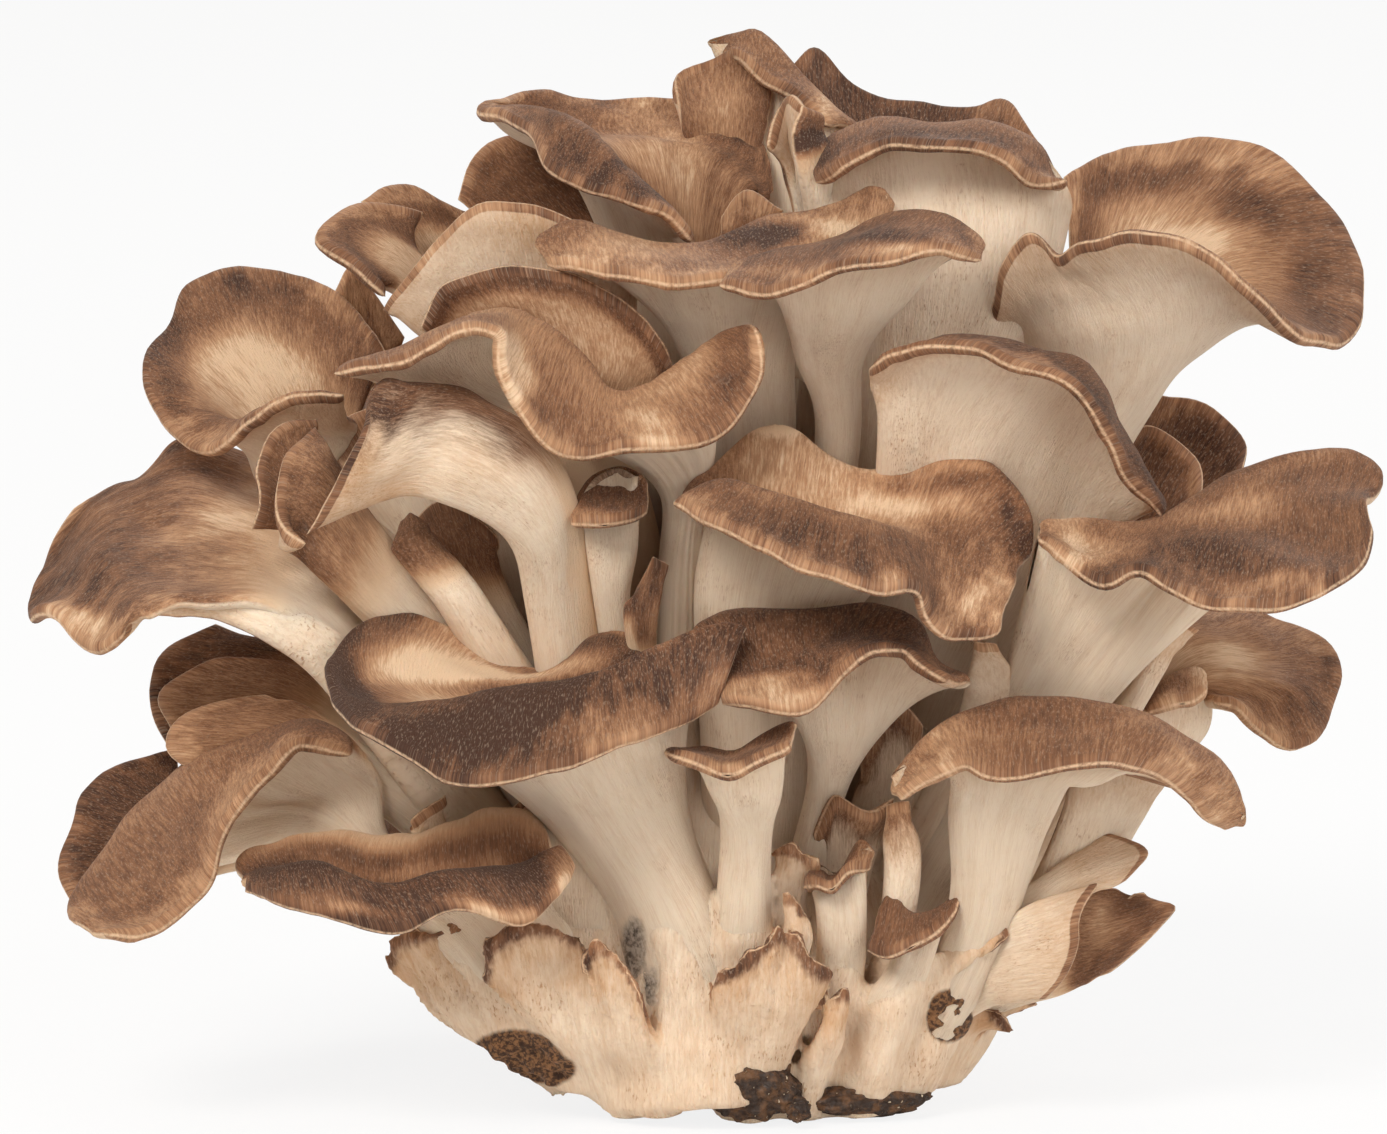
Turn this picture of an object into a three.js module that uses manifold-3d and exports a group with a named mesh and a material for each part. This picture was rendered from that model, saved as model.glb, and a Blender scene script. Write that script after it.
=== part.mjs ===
// Maitake (hen of the woods): one cluster of curled fronds on a cut foot, with crumbs of its growing block.
// Millimetres, +Z up. The cluster is drawn in a growth frame of its own (X across, Y to the back, Z up),
// which leans back on the flat cut of the foot. Each lobe is a thick sheet lofted through rows of points
// that run from its foot to its rim, each row from one side edge of the lobe to the other.
import * as THREE from "three";
import { ParametricGeometry } from "three/addons/geometries/ParametricGeometry.js";
import { mergeVertices } from "three/addons/utils/BufferGeometryUtils.js";
import Module from "manifold-3d";

const wasm = await Module();
wasm.setup();

const leanAngle = THREE.MathUtils.degToRad(8);
const footFront = -35; // Y of the front edge of the cut face, where the growth frame touches the ground
const rimThickness = 2.8;
const thinning = [0.1, 0.85]; // shares of a lobe's length between which it thins from stalk to rim
const flattening = [0.3, 0.8]; // shares between which its section turns from an oval into a flat sheet
const squareness = 10; // how much squarer a flat sheet's section is than an oval
const fewestSlices = 8;
const slopeStep = 0.01; // part of a lobe over which its slope is read
const endStep = 0.03; // part of a lobe's length over which the direction of an end is read
const endSwell = 1.5; // how much more an end is grown than a face
const weld = 1e-3; // vertices closer than this are one
const gap = 0.3; // left between neighbours
const tinyOverlap = 0.002; // in cubic millimetres
const capBrown = "#9a7252";
const shellTan = "#b7967a";
const stalkCream = "#dcc5aa";
const blockBrown = "#46301f";
const fleshRoughness = 0.75;

// Lobes in cutting order: a lobe is trimmed by the nodes before its own. Lobes with one node name grow as
// one piece. "stout" is the thickness at the stalk. Rows lie on a cap's brown top, so its sheet lies below
// them, and "under" is -1 where the underside faces back across the rows.
const lobes = [
  { node: "wing_left", stout: 11, rows: [
    [[8, -22, 3], [1, -22, 3], [-2, -33, 3], [4, -38, 3], [10, -34, 3]],
    [[6, -28, 27], [-3, -30, 27], [-6, -36, 27], [0, -41, 26], [6, -38, 26]],
    [[-2, -34, 47], [-10, -32, 46], [-17.5, -36, 46], [-15, -42, 45], [-8, -44, 45], [-1, -41, 46]],
    [[-8, -40, 60], [-16, -40, 59], [-24, -42, 58], [-31, -44, 58.5], [-35, -48, 58.5], [-32, -51, 58],
      [-25, -53, 58], [-17, -53, 59], [-10, -52, 61], [-3, -49, 63]],
    [[-8, -44, 67], [-17, -45, 65], [-24, -45, 64], [-33, -45, 64], [-40, -46, 64.5], [-46, -48, 65.5],
      [-49, -52, 64.3], [-46, -56, 63.2], [-40, -57, 63.2], [-33, -57, 63.5], [-24, -57, 64.7],
      [-15, -56, 66.8], [-6, -55, 70.8], [3.5, -53, 74.6]],
    [[-7.5, -40, 71.5], [-12, -36, 72.6], [-15.5, -34, 71.4], [-20, -31, 68.4], [-25, -30, 68.4],
      [-31, -30, 71.5], [-38, -31, 74.5], [-45, -33, 74.8], [-51, -38, 72.3], [-54.3, -47, 67.5],
      [-53, -56, 63.2], [-49.5, -63, 59.2], [-44, -67, 55.4], [-38, -70, 51.6], [-32, -71, 49.8],
      [-24, -71, 52.4], [-15, -69, 54.4], [-7, -66, 57.2], [-1, -62, 59.3], [4.2, -59, 62.2]],
  ] },
  { node: "wing_left", stout: 6, under: -1, rows: [
    [[-8, -28, 44], [-3, -28, 44]],
    [[-9, -38, 64], [-5, -38, 64]],
    [[-10.3, -44, 74], [-5, -43, 73]],
    [[-9.4, -44, 79], [-6, -46, 82.6], [-2.2, -44, 81.3]],
  ] },
  { node: "saddle_front", stout: 9, rows: [
    [[3, -36, 6], [11, -34, 6]],
    [[3, -42, 26], [11.5, -41, 26]],
    [[4, -47, 43], [11.5, -45, 43]],
    [[1.5, -51, 51], [7, -51, 50.5], [12.5, -48, 50]],
    [[-4.2, -52, 55.5], [1, -50, 55.8], [6, -49, 55], [10.5, -48, 57.5], [15, -49, 58.5]],
    [[-3, -60, 54.5], [1, -63, 52.2], [5, -65, 51.3], [9, -63, 53.6], [14, -58, 57]],
  ] },
  { node: "wing_right", stout: 8, rows: [
    [[12, -26, 6], [19, -24, 6]],
    [[14, -32, 34], [20, -30, 34]],
    [[17, -34, 50], [23, -32, 50]],
    [[14, -36, 61], [22, -36, 60], [31, -34, 62]],
    [[0, -42, 71.8], [5, -38, 74.3], [12, -36, 75.5], [19, -36, 75.4], [27, -36, 75.2], [33, -38, 73],
      [36, -40, 68], [41, -42, 66.5]],
    [[2.5, -48, 69.5], [6, -49, 70], [12, -50, 69.8], [19, -50, 70.6], [25, -48, 73], [32, -46, 71.8],
      [36, -46, 67], [40, -45, 65.8]],
    [[4, -57, 61.9], [7, -60, 61.6], [12, -61, 61.2], [18, -60, 62.2], [22.5, -57, 66.5],
      [26, -55, 70.6], [31, -52, 71.6], [34.5, -50, 68.2], [38.5, -48, 65.2]],
  ] },
  { node: "hood_right", stout: 10, rows: [
    [[24, -28, 6], [33, -26, 6]],
    [[37, -37, 28], [46.5, -35, 28]],
    [[37.5, -43, 45], [53, -41, 45]],
    [[37, -46, 52], [48, -44, 52], [59, -42, 52]],
    [[28.3, -48, 50.4], [32, -45, 54.6], [38, -43, 59.2], [45, -41, 62.8], [53, -40, 63.2],
      [61, -39, 62], [69, -38, 59.2], [75.5, -38, 55], [79.6, -40, 48.8], [81, -42, 45]],
    [[29.2, -52, 48.4], [34, -55, 51.4], [39.5, -58, 54.8], [44.5, -60, 52.2], [52, -61, 53.3],
      [60, -60, 55], [67, -56, 53.4], [72, -51, 49.4], [75.6, -47, 44.6], [78.6, -44, 42.6]],
  ] },
  { node: "hood_right", stout: 8, rows: [
    [[30, -22, 8], [38, -18, 10]],
    [[46, -30, 28], [56, -25, 28]],
    [[54, -34, 46], [67, -30, 46]],
    [[56, -38, 57], [72, -35, 53]],
  ] },
  { node: "cap_low_left", stout: 9, rows: [
    [[-20, -30, 8], [-8, -32, 8]],
    [[-34, -38, 22], [-15, -39, 24]],
    [[-46, -37, 30], [-19, -37, 33]],
    [[-66.5, -43, 38.5], [-60, -41, 40.2], [-54, -39, 41.8], [-46, -38, 40.9], [-40, -38, 41.6],
      [-33, -38, 43.8], [-28, -38, 45.4], [-21, -40, 42.5]],
    [[-66, -48, 37.4], [-59, -48, 37.4], [-52, -48, 36.4], [-44, -48, 34.4], [-36, -48, 35.2],
      [-28, -47, 36.6], [-20.5, -46, 39.4]],
    [[-66.2, -51, 37.8], [-60, -55, 37.6], [-54, -57, 38.2], [-47, -57, 35.7], [-38, -57, 36.9],
      [-30, -56, 37.7], [-24, -54, 38.3], [-19.5, -49, 41.6]],
    [[-66.2, -54, 35.5], [-60, -60, 32.8], [-51, -62, 31], [-43, -62, 29.6], [-34, -62, 31.2],
      [-25, -61, 29.8], [-20, -57, 32.5], [-17.2, -51, 38.3]],
  ] },
  { node: "hood_left", stout: 9, rows: [
    [[-22, -18, 14], [-12, -18, 12]],
    [[-52, -31, 40], [-42.5, -29, 38]],
    [[-72, -29, 37], [-67, -26, 43], [-60, -26, 47], [-52, -28, 49], [-46, -30, 50]],
    [[-91.5, -36, 32.5], [-88, -32, 38.5], [-82.5, -28, 46.5], [-75, -27, 52.6], [-66, -28, 56],
      [-58, -31, 58.5], [-50, -34, 55.5]],
    [[-91, -45, 29.5], [-84.5, -45, 32], [-78, -44, 41], [-72.5, -42, 48], [-65.5, -40, 53.5],
      [-58, -38, 58], [-50, -37, 55]],
    [[-86, -51, 28.3], [-79, -53, 28.6], [-73, -53, 34.5], [-70, -51, 41.5], [-65, -48, 48.8],
      [-59, -44, 56.5], [-50.5, -40, 54.5]],
  ] },
  { node: "hood_centre", stout: 12, rows: [
    [[2, -14, 20], [16, -14, 20]],
    [[2, -22, 50], [20, -22, 50]],
    [[0, -30, 75], [24, -30, 75]],
    [[1, -28, 90], [10, -26, 92], [20, -26, 90], [32, -27, 88.5], [40, -30, 85]],
    [[-1.5, -36, 94], [3, -32, 95.5], [7, -30, 100], [11, -29, 101.4], [15, -29, 101.3],
      [18, -29, 98.5], [22, -29, 95.7], [28, -29, 95.2], [34, -29, 96.8], [40, -29, 97.2],
      [45, -30, 95.3], [49, -33, 90.5], [50.8, -37, 85]],
    [[-2, -41, 93.5], [4, -41, 93], [9, -40, 92.2], [14, -40, 91], [19, -40, 88.6], [25, -40, 87.8],
      [31, -39, 88.5], [37, -39, 89], [43, -39, 87.2], [48.5, -41, 82.5]],
    [[-2.5, -47, 93.6], [4, -49, 95], [9, -49, 93.4], [14, -49, 91.8], [19, -49, 90.6], [24, -50, 89],
      [28, -50, 87.2], [32, -50, 84.5], [36, -49, 81], [41, -48, 80], [47.5, -47, 78.5]],
    [[-2.7, -54, 92.2], [1, -59, 88.8], [7, -62, 86.3], [13, -63, 84.2], [20, -64, 80.2], [27, -63, 78],
      [33, -61, 78.7], [35.5, -59, 75.8], [39, -57, 72.6], [45.5, -53, 74.4]],
  ] },
  { node: "club_centre", stout: 7, rows: [
    [[-8, -20, 38], [-2, -20, 38]],
    [[-14, -33, 72], [-9, -33, 72]],
    [[-16, -36, 84.5], [-8, -36, 85]],
    [[-18.6, -35, 91.5], [-15.5, -33, 95.8], [-10.5, -32, 97.4], [-6.4, -35, 96]],
    [[-18.4, -43, 89], [-15, -45, 88.2], [-11, -45, 88.6], [-6.6, -42, 91]],
  ] },
  { node: "arch_left", stout: 10, rows: [
    [[-10, -16, 24], [-2, -16, 24]],
    [[-20, -28, 52], [-11, -28, 54]],
    [[-24.5, -34, 74], [-14.5, -33, 76]],
    [[-26.5, -40, 84], [-17, -36, 90]],
    [[-33, -42, 89.8], [-27, -43, 95], [-23, -36, 99]],
    [[-42, -44, 92.4], [-38, -45, 100], [-34, -36, 106.8]],
    [[-50, -46, 90.3], [-47, -48, 98], [-43, -42, 108.8]],
    [[-57.3, -46, 86], [-52.5, -49, 95.5], [-48, -47, 101], [-45, -43, 106.5]],
  ] },
  { node: "tuck_left", stout: 9, under: -1, rows: [
    [[-14, -12, 28], [-12, -14, 36]],
    [[-36, -24, 60], [-31, -24, 69]],
    [[-50, -33, 75], [-44, -32, 85.5]],
    [[-58, -38, 82.5], [-54, -41, 91], [-52, -38, 98]],
    [[-56, -43, 86.3], [-61, -43, 92], [-60.3, -40, 98], [-55.5, -36, 103.2]],
  ] },
  { node: "tuck_left", stout: 6, under: -1, rows: [
    [[-14, -8, 34], [-12, -10, 42]],
    [[-42, -20, 72], [-38, -20, 80]],
    [[-56, -30, 86], [-54, -30, 95]],
    [[-65, -34, 86], [-62.8, -36, 93], [-63.6, -34, 98], [-60.5, -31, 103.4], [-56, -29, 103.6]],
  ] },
  { node: "clubs_left", stout: 7, under: -1, rows: [
    [[-18, -18, 44], [-12, -18, 46]],
    [[-35.5, -32, 72], [-28.5, -32, 74]],
    [[-40.5, -35, 79], [-33.5, -34, 81.5]],
    [[-45, -36, 84], [-40.5, -37, 85.5], [-37, -34, 86]],
    [[-43.5, -35, 88.5], [-41.5, -34.5, 90.3], [-39, -33, 88.5]],
  ] },
  { node: "clubs_left", stout: 6, under: -1, rows: [
    [[-20, -14, 48], [-12, -14, 50]],
    [[-36, -25, 76], [-27, -24, 78]],
    [[-41.5, -29, 88], [-37, -29, 91.3], [-28.5, -28, 85.5]],
  ] },
  { node: "clubs_left", stout: 8, rows: [
    [[-20, -2, 44], [-8, -2, 44]],
    [[-38, -10, 72], [-20, -11, 76]],
    [[-61, -12, 96], [-52, -13, 104], [-43, -13, 106], [-30, -14, 105], [-18, -14, 98]],
  ] },
  { node: "saddle_high", stout: 8, rows: [
    [[-6, -12, 40], [2, -12, 40]],
    [[-5, -27, 80], [1, -27, 80]],
    [[-8, -31, 96], [3, -30, 96]],
    [[-40, -28, 107], [-28, -29, 109], [-17, -30, 104], [-6, -30, 102], [4, -29, 106]],
    [[-51, -37, 111.5], [-45, -35, 114], [-38, -34, 117.4], [-32, -33, 119.3], [-27, -33, 119.2],
      [-23.5, -33, 118], [-20, -33, 116], [-16, -33, 113], [-12, -33, 108], [-7, -33, 109],
      [-2, -33, 112], [2.5, -33, 115.5], [5.5, -34, 117.8]],
    [[-53.3, -45, 110.5], [-46, -47, 112.3], [-39, -48, 115.2], [-32, -49, 117.8], [-27.5, -50, 115.6],
      [-28.3, -51, 111], [-23.5, -51, 104.5], [-18.5, -51, 99.2], [-12, -50, 100.4], [-2, -50, 100.1],
      [5, -48, 102.5], [9.8, -45, 109.5], [7.5, -41, 116.5]],
  ] },
  { node: "shell_right", stout: 8, rows: [
    [[16, -6, 26], [28, -4, 26]],
    [[22, -14.6, 60], [42.5, -10.4, 60]],
    [[26, -23, 85], [58, -15.5, 80]],
    [[27, -32, 102], [40, -30, 102], [54, -24, 98], [64, -20, 88]],
    [[26, -37, 108.5], [32, -37, 112.6], [42, -37, 114.8], [51, -35, 114.6], [57, -33, 112.7],
      [60, -31, 109], [63, -29, 103.3], [68, -27, 97.5], [71.2, -26, 91]],
    [[26.2, -40, 111.5], [29, -43, 113.6], [34, -45, 115.6], [40, -46, 115.2], [46, -46, 112.8],
      [52, -46, 109.7], [57, -45, 106], [61, -42, 101.3], [64, -39, 96.3], [70.3, -33, 89.3]],
  ] },
  { node: "cap_right", stout: 10, rows: [
    [[22, -10, 20], [32, -8, 20]],
    [[40, -24, 52], [54, -22, 50]],
    [[46, -28, 66], [66, -26, 66]],
    [[50.5, -36, 87.3], [57, -32, 88.2], [64, -30, 87.3], [71, -29, 88.6], [77, -27, 93.4],
      [83, -25, 96.8], [90, -25, 98.2], [96, -26, 97.8], [100.4, -30, 94.2]],
    [[51, -42, 87.2], [58, -42, 85.4], [65, -41, 85.4], [72, -40, 86.8], [80, -40, 88.4], [88, -39, 90],
      [95, -38, 91.4], [100, -39, 92.4]],
    [[51.2, -46, 86.6], [55, -49, 84], [60, -52, 80.4], [65, -54, 81.9], [70, -56, 79.8],
      [75, -58, 76.4], [82, -59, 76.6], [90, -57, 77.2], [96, -53, 81.3], [99.4, -46, 88]],
  ] },
  { node: "crown_twin", stout: 8, rows: [
    [[6, -10, 40], [14, -10, 40]],
    [[18, -20, 96], [24.2, -20, 96]],
    [[15, -27, 113], [25.5, -27, 113]],
    [[13, -31, 120.5], [22, -32, 121.5], [33, -31, 123.5]],
    [[6, -35, 126.2], [13, -32, 129.5], [21, -31, 132], [29, -31, 134.8], [35, -32, 134.4],
      [39, -34, 132.5], [42.4, -38, 128.9]],
    [[3.7, -45, 124], [9, -48, 122.8], [15, -50, 124.2], [21, -51, 126.4], [29, -50, 127.5],
      [37, -48, 128.6], [43, -44, 126.9]],
  ] },
  { node: "crown_left", stout: 8, rows: [
    [[-4, -4, 40], [8, -4, 40]],
    [[0, -14, 95], [15, -14, 95]],
    [[-3, -21, 116], [6, -22, 116], [16, -21, 117]],
    [[-22.3, -28, 129.3], [-17, -24, 132.4], [-10, -23, 130.8], [-3, -23, 129.9], [3, -23, 130.6],
      [10, -22, 133], [18, -22, 134.6], [23, -22, 136.7], [26, -23, 138], [29, -25, 136.6]],
    [[-22, -34, 127], [-17, -38, 126], [-9, -40, 124.8], [-1, -41, 124.4], [6, -40, 125.2],
      [12, -38, 127.3], [18, -34, 128.8], [23, -31, 130], [26, -30, 131], [29, -29, 132]],
  ] },
  { node: "crown_left", stout: 5, under: -1, rows: [
    [[2, -6, 100], [9, -6, 100]],
    [[4, -10, 125], [11, -10, 125]],
    [[4.3, -11, 134], [8, -11, 137.6], [13.3, -12, 134.5]],
  ] },
  { node: "fan_arched", stout: 7, rows: [
    [[-12, -8, 40], [-2, -10, 40]],
    [[-18, -16, 80], [-4, -18, 80]],
    [[-26, -22, 100], [-8, -24, 100]],
    [[-36, -26, 113], [-24, -27, 115], [-12, -27, 113], [-5, -26, 108]],
    [[-41, -30, 117.5], [-36, -31, 124.5], [-26, -32, 127.2], [-16, -32, 125], [-7, -31, 119],
      [-2.2, -29, 112]],
  ] },
  { node: "fan_upright", stout: 7, rows: [
    [[-14, -2, 40], [-2, -4, 40]],
    [[-20, -6, 85], [-4, -8, 85]],
    [[-30, -12, 108], [-8, -14, 108]],
    [[-42, -17, 117], [-32, -18, 122], [-20, -18, 122], [-8, -18, 122]],
    [[-46, -16, 120], [-43, -18, 125], [-37, -20, 132], [-30, -22, 136.7], [-21, -22, 135.2],
      [-12, -22, 132], [-6, -20, 129]],
  ] },
  { node: "funnel_left", stout: 8, rows: [
    [[-16, -2, 28], [-20, -8, 28]],
    [[-40, -4, 62], [-44, -10, 60]],
    [[-55, -5, 92], [-60, -9, 91], [-55, -12, 89]],
    [[-50, -6, 104], [-55, -6, 105.5], [-61, -7, 105], [-65, -9, 102], [-63, -13, 100], [-57, -14, 101],
      [-50, -13, 102]],
    [[-48, -5, 109], [-52, -4, 112.5], [-58, -3, 115.5], [-65, -3, 116.5], [-71, -4, 115],
      [-75, -8, 111], [-74, -12, 106.5], [-70, -15, 103.8], [-65, -18, 104], [-59, -20, 105.5],
      [-51, -20, 105.5]],
    [[-45.5, -6, 113], [-49.5, -3, 119.5], [-54, 0, 124], [-61, 2, 126.5], [-69, 2, 127.7],
      [-76, 0, 124.5], [-78.3, -2, 119.5], [-82, -6, 114.5], [-82, -11, 107.5], [-78, -16, 102.5],
      [-73, -19, 99.6], [-68, -24, 102.5], [-61, -27, 108], [-52, -26, 109]],
  ] },
  { node: "funnel_left", stout: 6, under: -1, rows: [
    [[-16, 4, 50], [-12, 6, 52]],
    [[-40, -1, 98], [-36, 1, 102]],
    [[-50, 0, 112], [-44, 2, 112]],
    [[-53.5, 0, 123], [-51, 1, 127], [-46, 2, 121], [-43, 2, 116]],
  ] },
  { node: "drape_left", stout: 7, under: -1, rows: [
    [[-14, -12, 24], [-16, -2, 27]],
    [[-36, -24, 49], [-38, -6, 55]],
    [[-54, -37, 68.5], [-52, -26, 72], [-50, -8, 80]],
    [[-62, -43, 76.3], [-62, -30, 79], [-60, -14, 86], [-58, 0, 94.5]],
    [[-72, -46, 77.8], [-73, -35, 80], [-74, -18, 86.5], [-74, -6, 94], [-74, 1, 101.5]],
    [[-81, -45, 76], [-84, -34, 79.5], [-86, -22, 85.5], [-86, -12, 91.5], [-84, -4, 96.7]],
    [[-84, -44, 73], [-89, -42, 69.8], [-95, -36, 75.3], [-99.3, -28, 74.8], [-97.8, -20, 81],
      [-92, -12, 91]],
  ] },
  { node: "drape_left", stout: 9, rows: [
    [[-16, -14, 20], [-14, -6, 26]],
    [[-38, -28, 45], [-36, -16, 54]],
    [[-54, -37, 63.5], [-52, -33, 71]],
    [[-63, -40, 70], [-62, -38, 76]],
    [[-73, -41, 74], [-72, -39, 77]],
    [[-82, -40, 75], [-81, -38, 77.5]],
  ] },
  { node: "lip_right_top", stout: 9, rows: [
    [[10, 0, 40], [24, 4, 40]],
    [[17, -6, 80], [36, -4, 80]],
    [[19, -12, 102], [44, -8, 100]],
    [[19, -16, 125], [30, -18, 125], [44, -16, 125], [54, -12, 126]],
    [[17.3, -13, 142], [21, -13, 145], [27, -14, 147.2], [33, -15, 147.5], [40, -15, 147.2],
      [46, -14, 146.4], [52, -12, 145], [56, -10, 138]],
    [[17, -22, 139.8], [20, -27, 141.3], [25, -28, 144.2], [30, -28, 145.9], [36, -28, 144.5],
      [43, -27, 142], [50, -25, 139.2], [55, -19, 141]],
  ] },
  { node: "lip_right_top", stout: 6, under: -1, rows: [
    [[18, -10, 110], [22, -10, 110]],
    [[17, -14, 130], [21, -14, 130]],
    [[16, -21, 141], [21, -17, 143.5]],
    [[16.3, -21, 146], [20.5, -16, 146.8]],
    [[17, -19, 150.8], [19.8, -15, 149.6]],
  ] },
  { node: "lip_right_top", stout: 6, rows: [
    [[12, 2, 60], [16, 2, 60]],
    [[16, -4, 110], [20, -4, 110]],
    [[15.5, -8, 130], [18.5, -8, 130]],
    [[12.4, -12, 141], [14.8, -9, 142], [17.4, -12, 142]],
    [[10.2, -15, 144.6], [11.6, -12, 149], [14.6, -12, 152.5], [17.6, -15, 150.8]],
  ] },
  { node: "funnel_right", stout: 9, rows: [
    [[32, -2, 38], [40, 2, 38]],
    [[44, -4, 70], [53, 1, 72]],
    [[52, -5, 92], [58, -9, 93], [63, -2, 95]],
    [[53, -8, 106], [58, -11, 107], [64, -11, 108], [67.5, -7, 109.5], [68, -1, 111], [65, 4, 112],
      [60, 5, 112], [56, 2, 111]],
    [[48, -12, 115], [53, -16, 118], [58, -19, 119.5], [65, -19, 120], [72, -17, 119.5],
      [78, -12, 118.8], [82, -5, 119.5], [84, 1, 122], [82, 7, 126], [76, 10, 129.5], [69, 10, 130],
      [62, 9, 129], [57, 6, 127]],
    [[44.4, -15, 118], [44.4, -20, 123], [47, -24, 129.5], [51, -26, 132.2], [54.4, -24, 128.6],
      [57, -28, 131], [63, -31, 133], [70, -31, 132.4], [78, -29, 128.6], [85, -24, 123],
      [90, -19, 118.6], [94, -14, 115.6], [98, -9, 116.8], [100.6, -3, 121.5], [100.2, 3, 129],
      [96.5, 9, 136.8], [89, 14, 143.2], [80, 17, 146.6], [70, 18, 146.9], [62, 15, 144.5],
      [56, 10, 140.5]],
  ] },
  { node: "tongue_top", stout: 8, under: -1, rows: [
    [[0, 12, 58], [8, 12, 58]],
    [[-1, 11, 110], [9, 11, 110]],
    [[-1, 10, 140], [10, 9, 142]],
    [[-2.4, 10, 152.5], [-2, 11, 156], [3, 11, 158.6], [6.5, 11, 160.2], [9.8, 10, 157.5],
      [11.5, 9, 153]],
  ] },
  { node: "tongue_top", stout: 8, rows: [
    [[4, 14, 58], [12, 14, 58]],
    [[8, 15, 110], [16, 15, 110]],
    [[10, 15, 140], [22, 12, 138]],
    [[2, 16, 160.9], [7, 16, 161.9], [10.5, 15, 162.4], [15, 13, 158.3], [20, 11, 152.6], [26, 9, 146.6]],
    [[3, 12, 160.2], [6.5, 9, 160.4], [9.5, 7, 158.2], [13, 6, 155.2], [16.5, 5, 151.6], [21, 4, 148]],
  ] },
  { node: "bowl_top", stout: 8, under: -1, rows: [
    [[2, -2, 58], [-4, 2, 58], [2, 6, 58]],
    [[0, -6, 110], [-6, 0, 110], [2, 6, 110]],
    [[0, -12, 130], [-6, -11, 133], [-11, -9, 137], [-14, -4, 140], [-12, 2, 141], [-6, 5, 141],
      [2, 6, 139], [8, 4, 136]],
    [[-0.5, -18, 132], [-6, -20, 138], [-12, -20, 143.5], [-18, -18, 148.5], [-22, -12, 151],
      [-28, -2, 149.5], [-25, 6, 149], [-17, 9, 148], [-8, 10, 147.5], [2, 10, 146], [9, 8, 143],
      [11.5, 4, 138]],
    [[0.8, -22, 130.3], [-6, -26, 135.8], [-15, -27, 138], [-22, -26, 142], [-25, -18, 148.5],
      [-32.5, -4, 150.5], [-27, 8, 153], [-18, 14, 153], [-8, 16, 153.5], [2, 16, 152], [10, 12, 147],
      [13, 6, 139.5]],
  ] },
  { node: "cap_far_right", stout: 9, rows: [
    [[34, 2, 14], [27, 0, 22]],
    [[56, -2, 37], [48, -5, 43]],
    [[68, -8, 52], [60, -10, 58]],
    [[74, -13, 61.5], [75, -13, 65], [73, -11, 69], [68, -9, 70]],
    [[77, -16, 62.6], [83, -17, 62], [88, -16, 64], [88, -12, 68], [83, -8, 71.5], [77, -5, 73],
      [72, -5, 73.4]],
    [[77, -18, 62], [82, -20, 60.4], [86, -20, 57], [90, -19, 54.8], [94.4, -16, 57], [96.4, -12, 62.5],
      [97.2, -9, 67.5], [94.5, -6, 72], [89, -3, 73.4], [84, -1, 75.6], [79.5, 0, 75], [75, 0, 76.2],
      [71, -2, 74.5]],
  ] },
  { node: "cap_far_right", stout: 5, rows: [
    [[46, -8, 38], [52, -8, 36]],
    [[58, -18, 54], [62, -17, 52]],
    [[64, -22, 63], [67.5, -21, 62]],
    [[68, -22, 70], [71, -21, 68]],
    [[72.5, -20, 74], [75.5, -20, 72]],
  ] },
  { node: "cap_far_right", stout: 6, rows: [
    [[44, -6, 32], [52, -4, 32]],
    [[60, -14, 50], [70, -10, 50]],
    [[66, -16, 58], [77, -12, 58]],
    [[66.5, -16, 61.5], [70, -15, 64.8], [74, -14, 65.6], [77, -14, 64.6]],
    [[67, -22, 60.3], [71, -24, 61.4], [74, -23, 62.4], [76.6, -20, 63.8]],
  ] },
  { node: "shelf_right", stout: 8, under: -1, rows: [
    [[30, -26, 6], [26, -24, 14]],
    [[42, -31, 17], [37, -29, 25]],
    [[50, -35, 25], [47, -32, 32.5]],
    [[58, -37, 31.5], [55, -34, 38]],
    [[64, -36, 35.5], [67.5, -35, 39.5], [61, -32, 42.2]],
  ] },
  { node: "leaf_right", stout: 7, rows: [
    [[26, -20, 4], [26, -20, 13]],
    [[45, -25, 15], [44, -27, 25]],
    [[55, -30, 18.5], [56, -32, 32.5]],
    [[63.5, -32, 24], [66, -33, 33]],
    [[66.5, -33, 26.3], [71.8, -33, 31.2], [69.5, -33, 32.6]],
  ] },
  { node: "leaf_right", stout: 7, under: -1, rows: [
    [[26, -25, 4], [26, -25, 13]],
    [[42, -32, 16], [41, -32, 25]],
    [[49, -37, 18.4], [50, -37, 30.4]],
    [[53.6, -38, 20.6], [57, -40, 24], [58.5, -40, 28.5], [58.4, -38, 33]],
  ] },
  { node: "fans_left", stout: 7, under: -1, rows: [
    [[-22, -18, 24], [-18, -16, 30]],
    [[-54, -28, 50], [-52, -27, 58]],
    [[-72, -32, 50.5], [-77.5, -32, 54], [-77, -31, 58.5], [-72, -30, 61.5], [-63, -29, 63]],
  ] },
  { node: "fans_left", stout: 7, under: -1, rows: [
    [[-22, -15, 27], [-18, -12, 32]],
    [[-54, -22, 56], [-52, -20, 63]],
    [[-77, -25, 57], [-79, -24, 63], [-73, -23, 67.8], [-64, -22, 68.2], [-57, -20, 66.5]],
  ] },
  { node: "fan_left_dark", stout: 6, under: -1, rows: [
    [[-22, -8, 30], [-18, -4, 34]],
    [[-56, -12, 58], [-54, -8, 66]],
    [[-78, -14, 54], [-81.3, -12, 62], [-79, -10, 69.5], [-71.5, -8, 73.8]],
  ] },
  { node: "fan_low_left", stout: 7, under: -1, rows: [
    [[-22, -10, 18], [-16, -6, 20]],
    [[-58, -20, 36], [-54, -16, 46]],
    [[-78, -25, 34], [-74, -19, 50]],
    [[-90, -28, 29], [-94.3, -25, 36], [-92.5, -22, 43.5], [-90, -20, 49], [-85, -18, 53],
      [-77, -16, 55]],
  ] },
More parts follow.
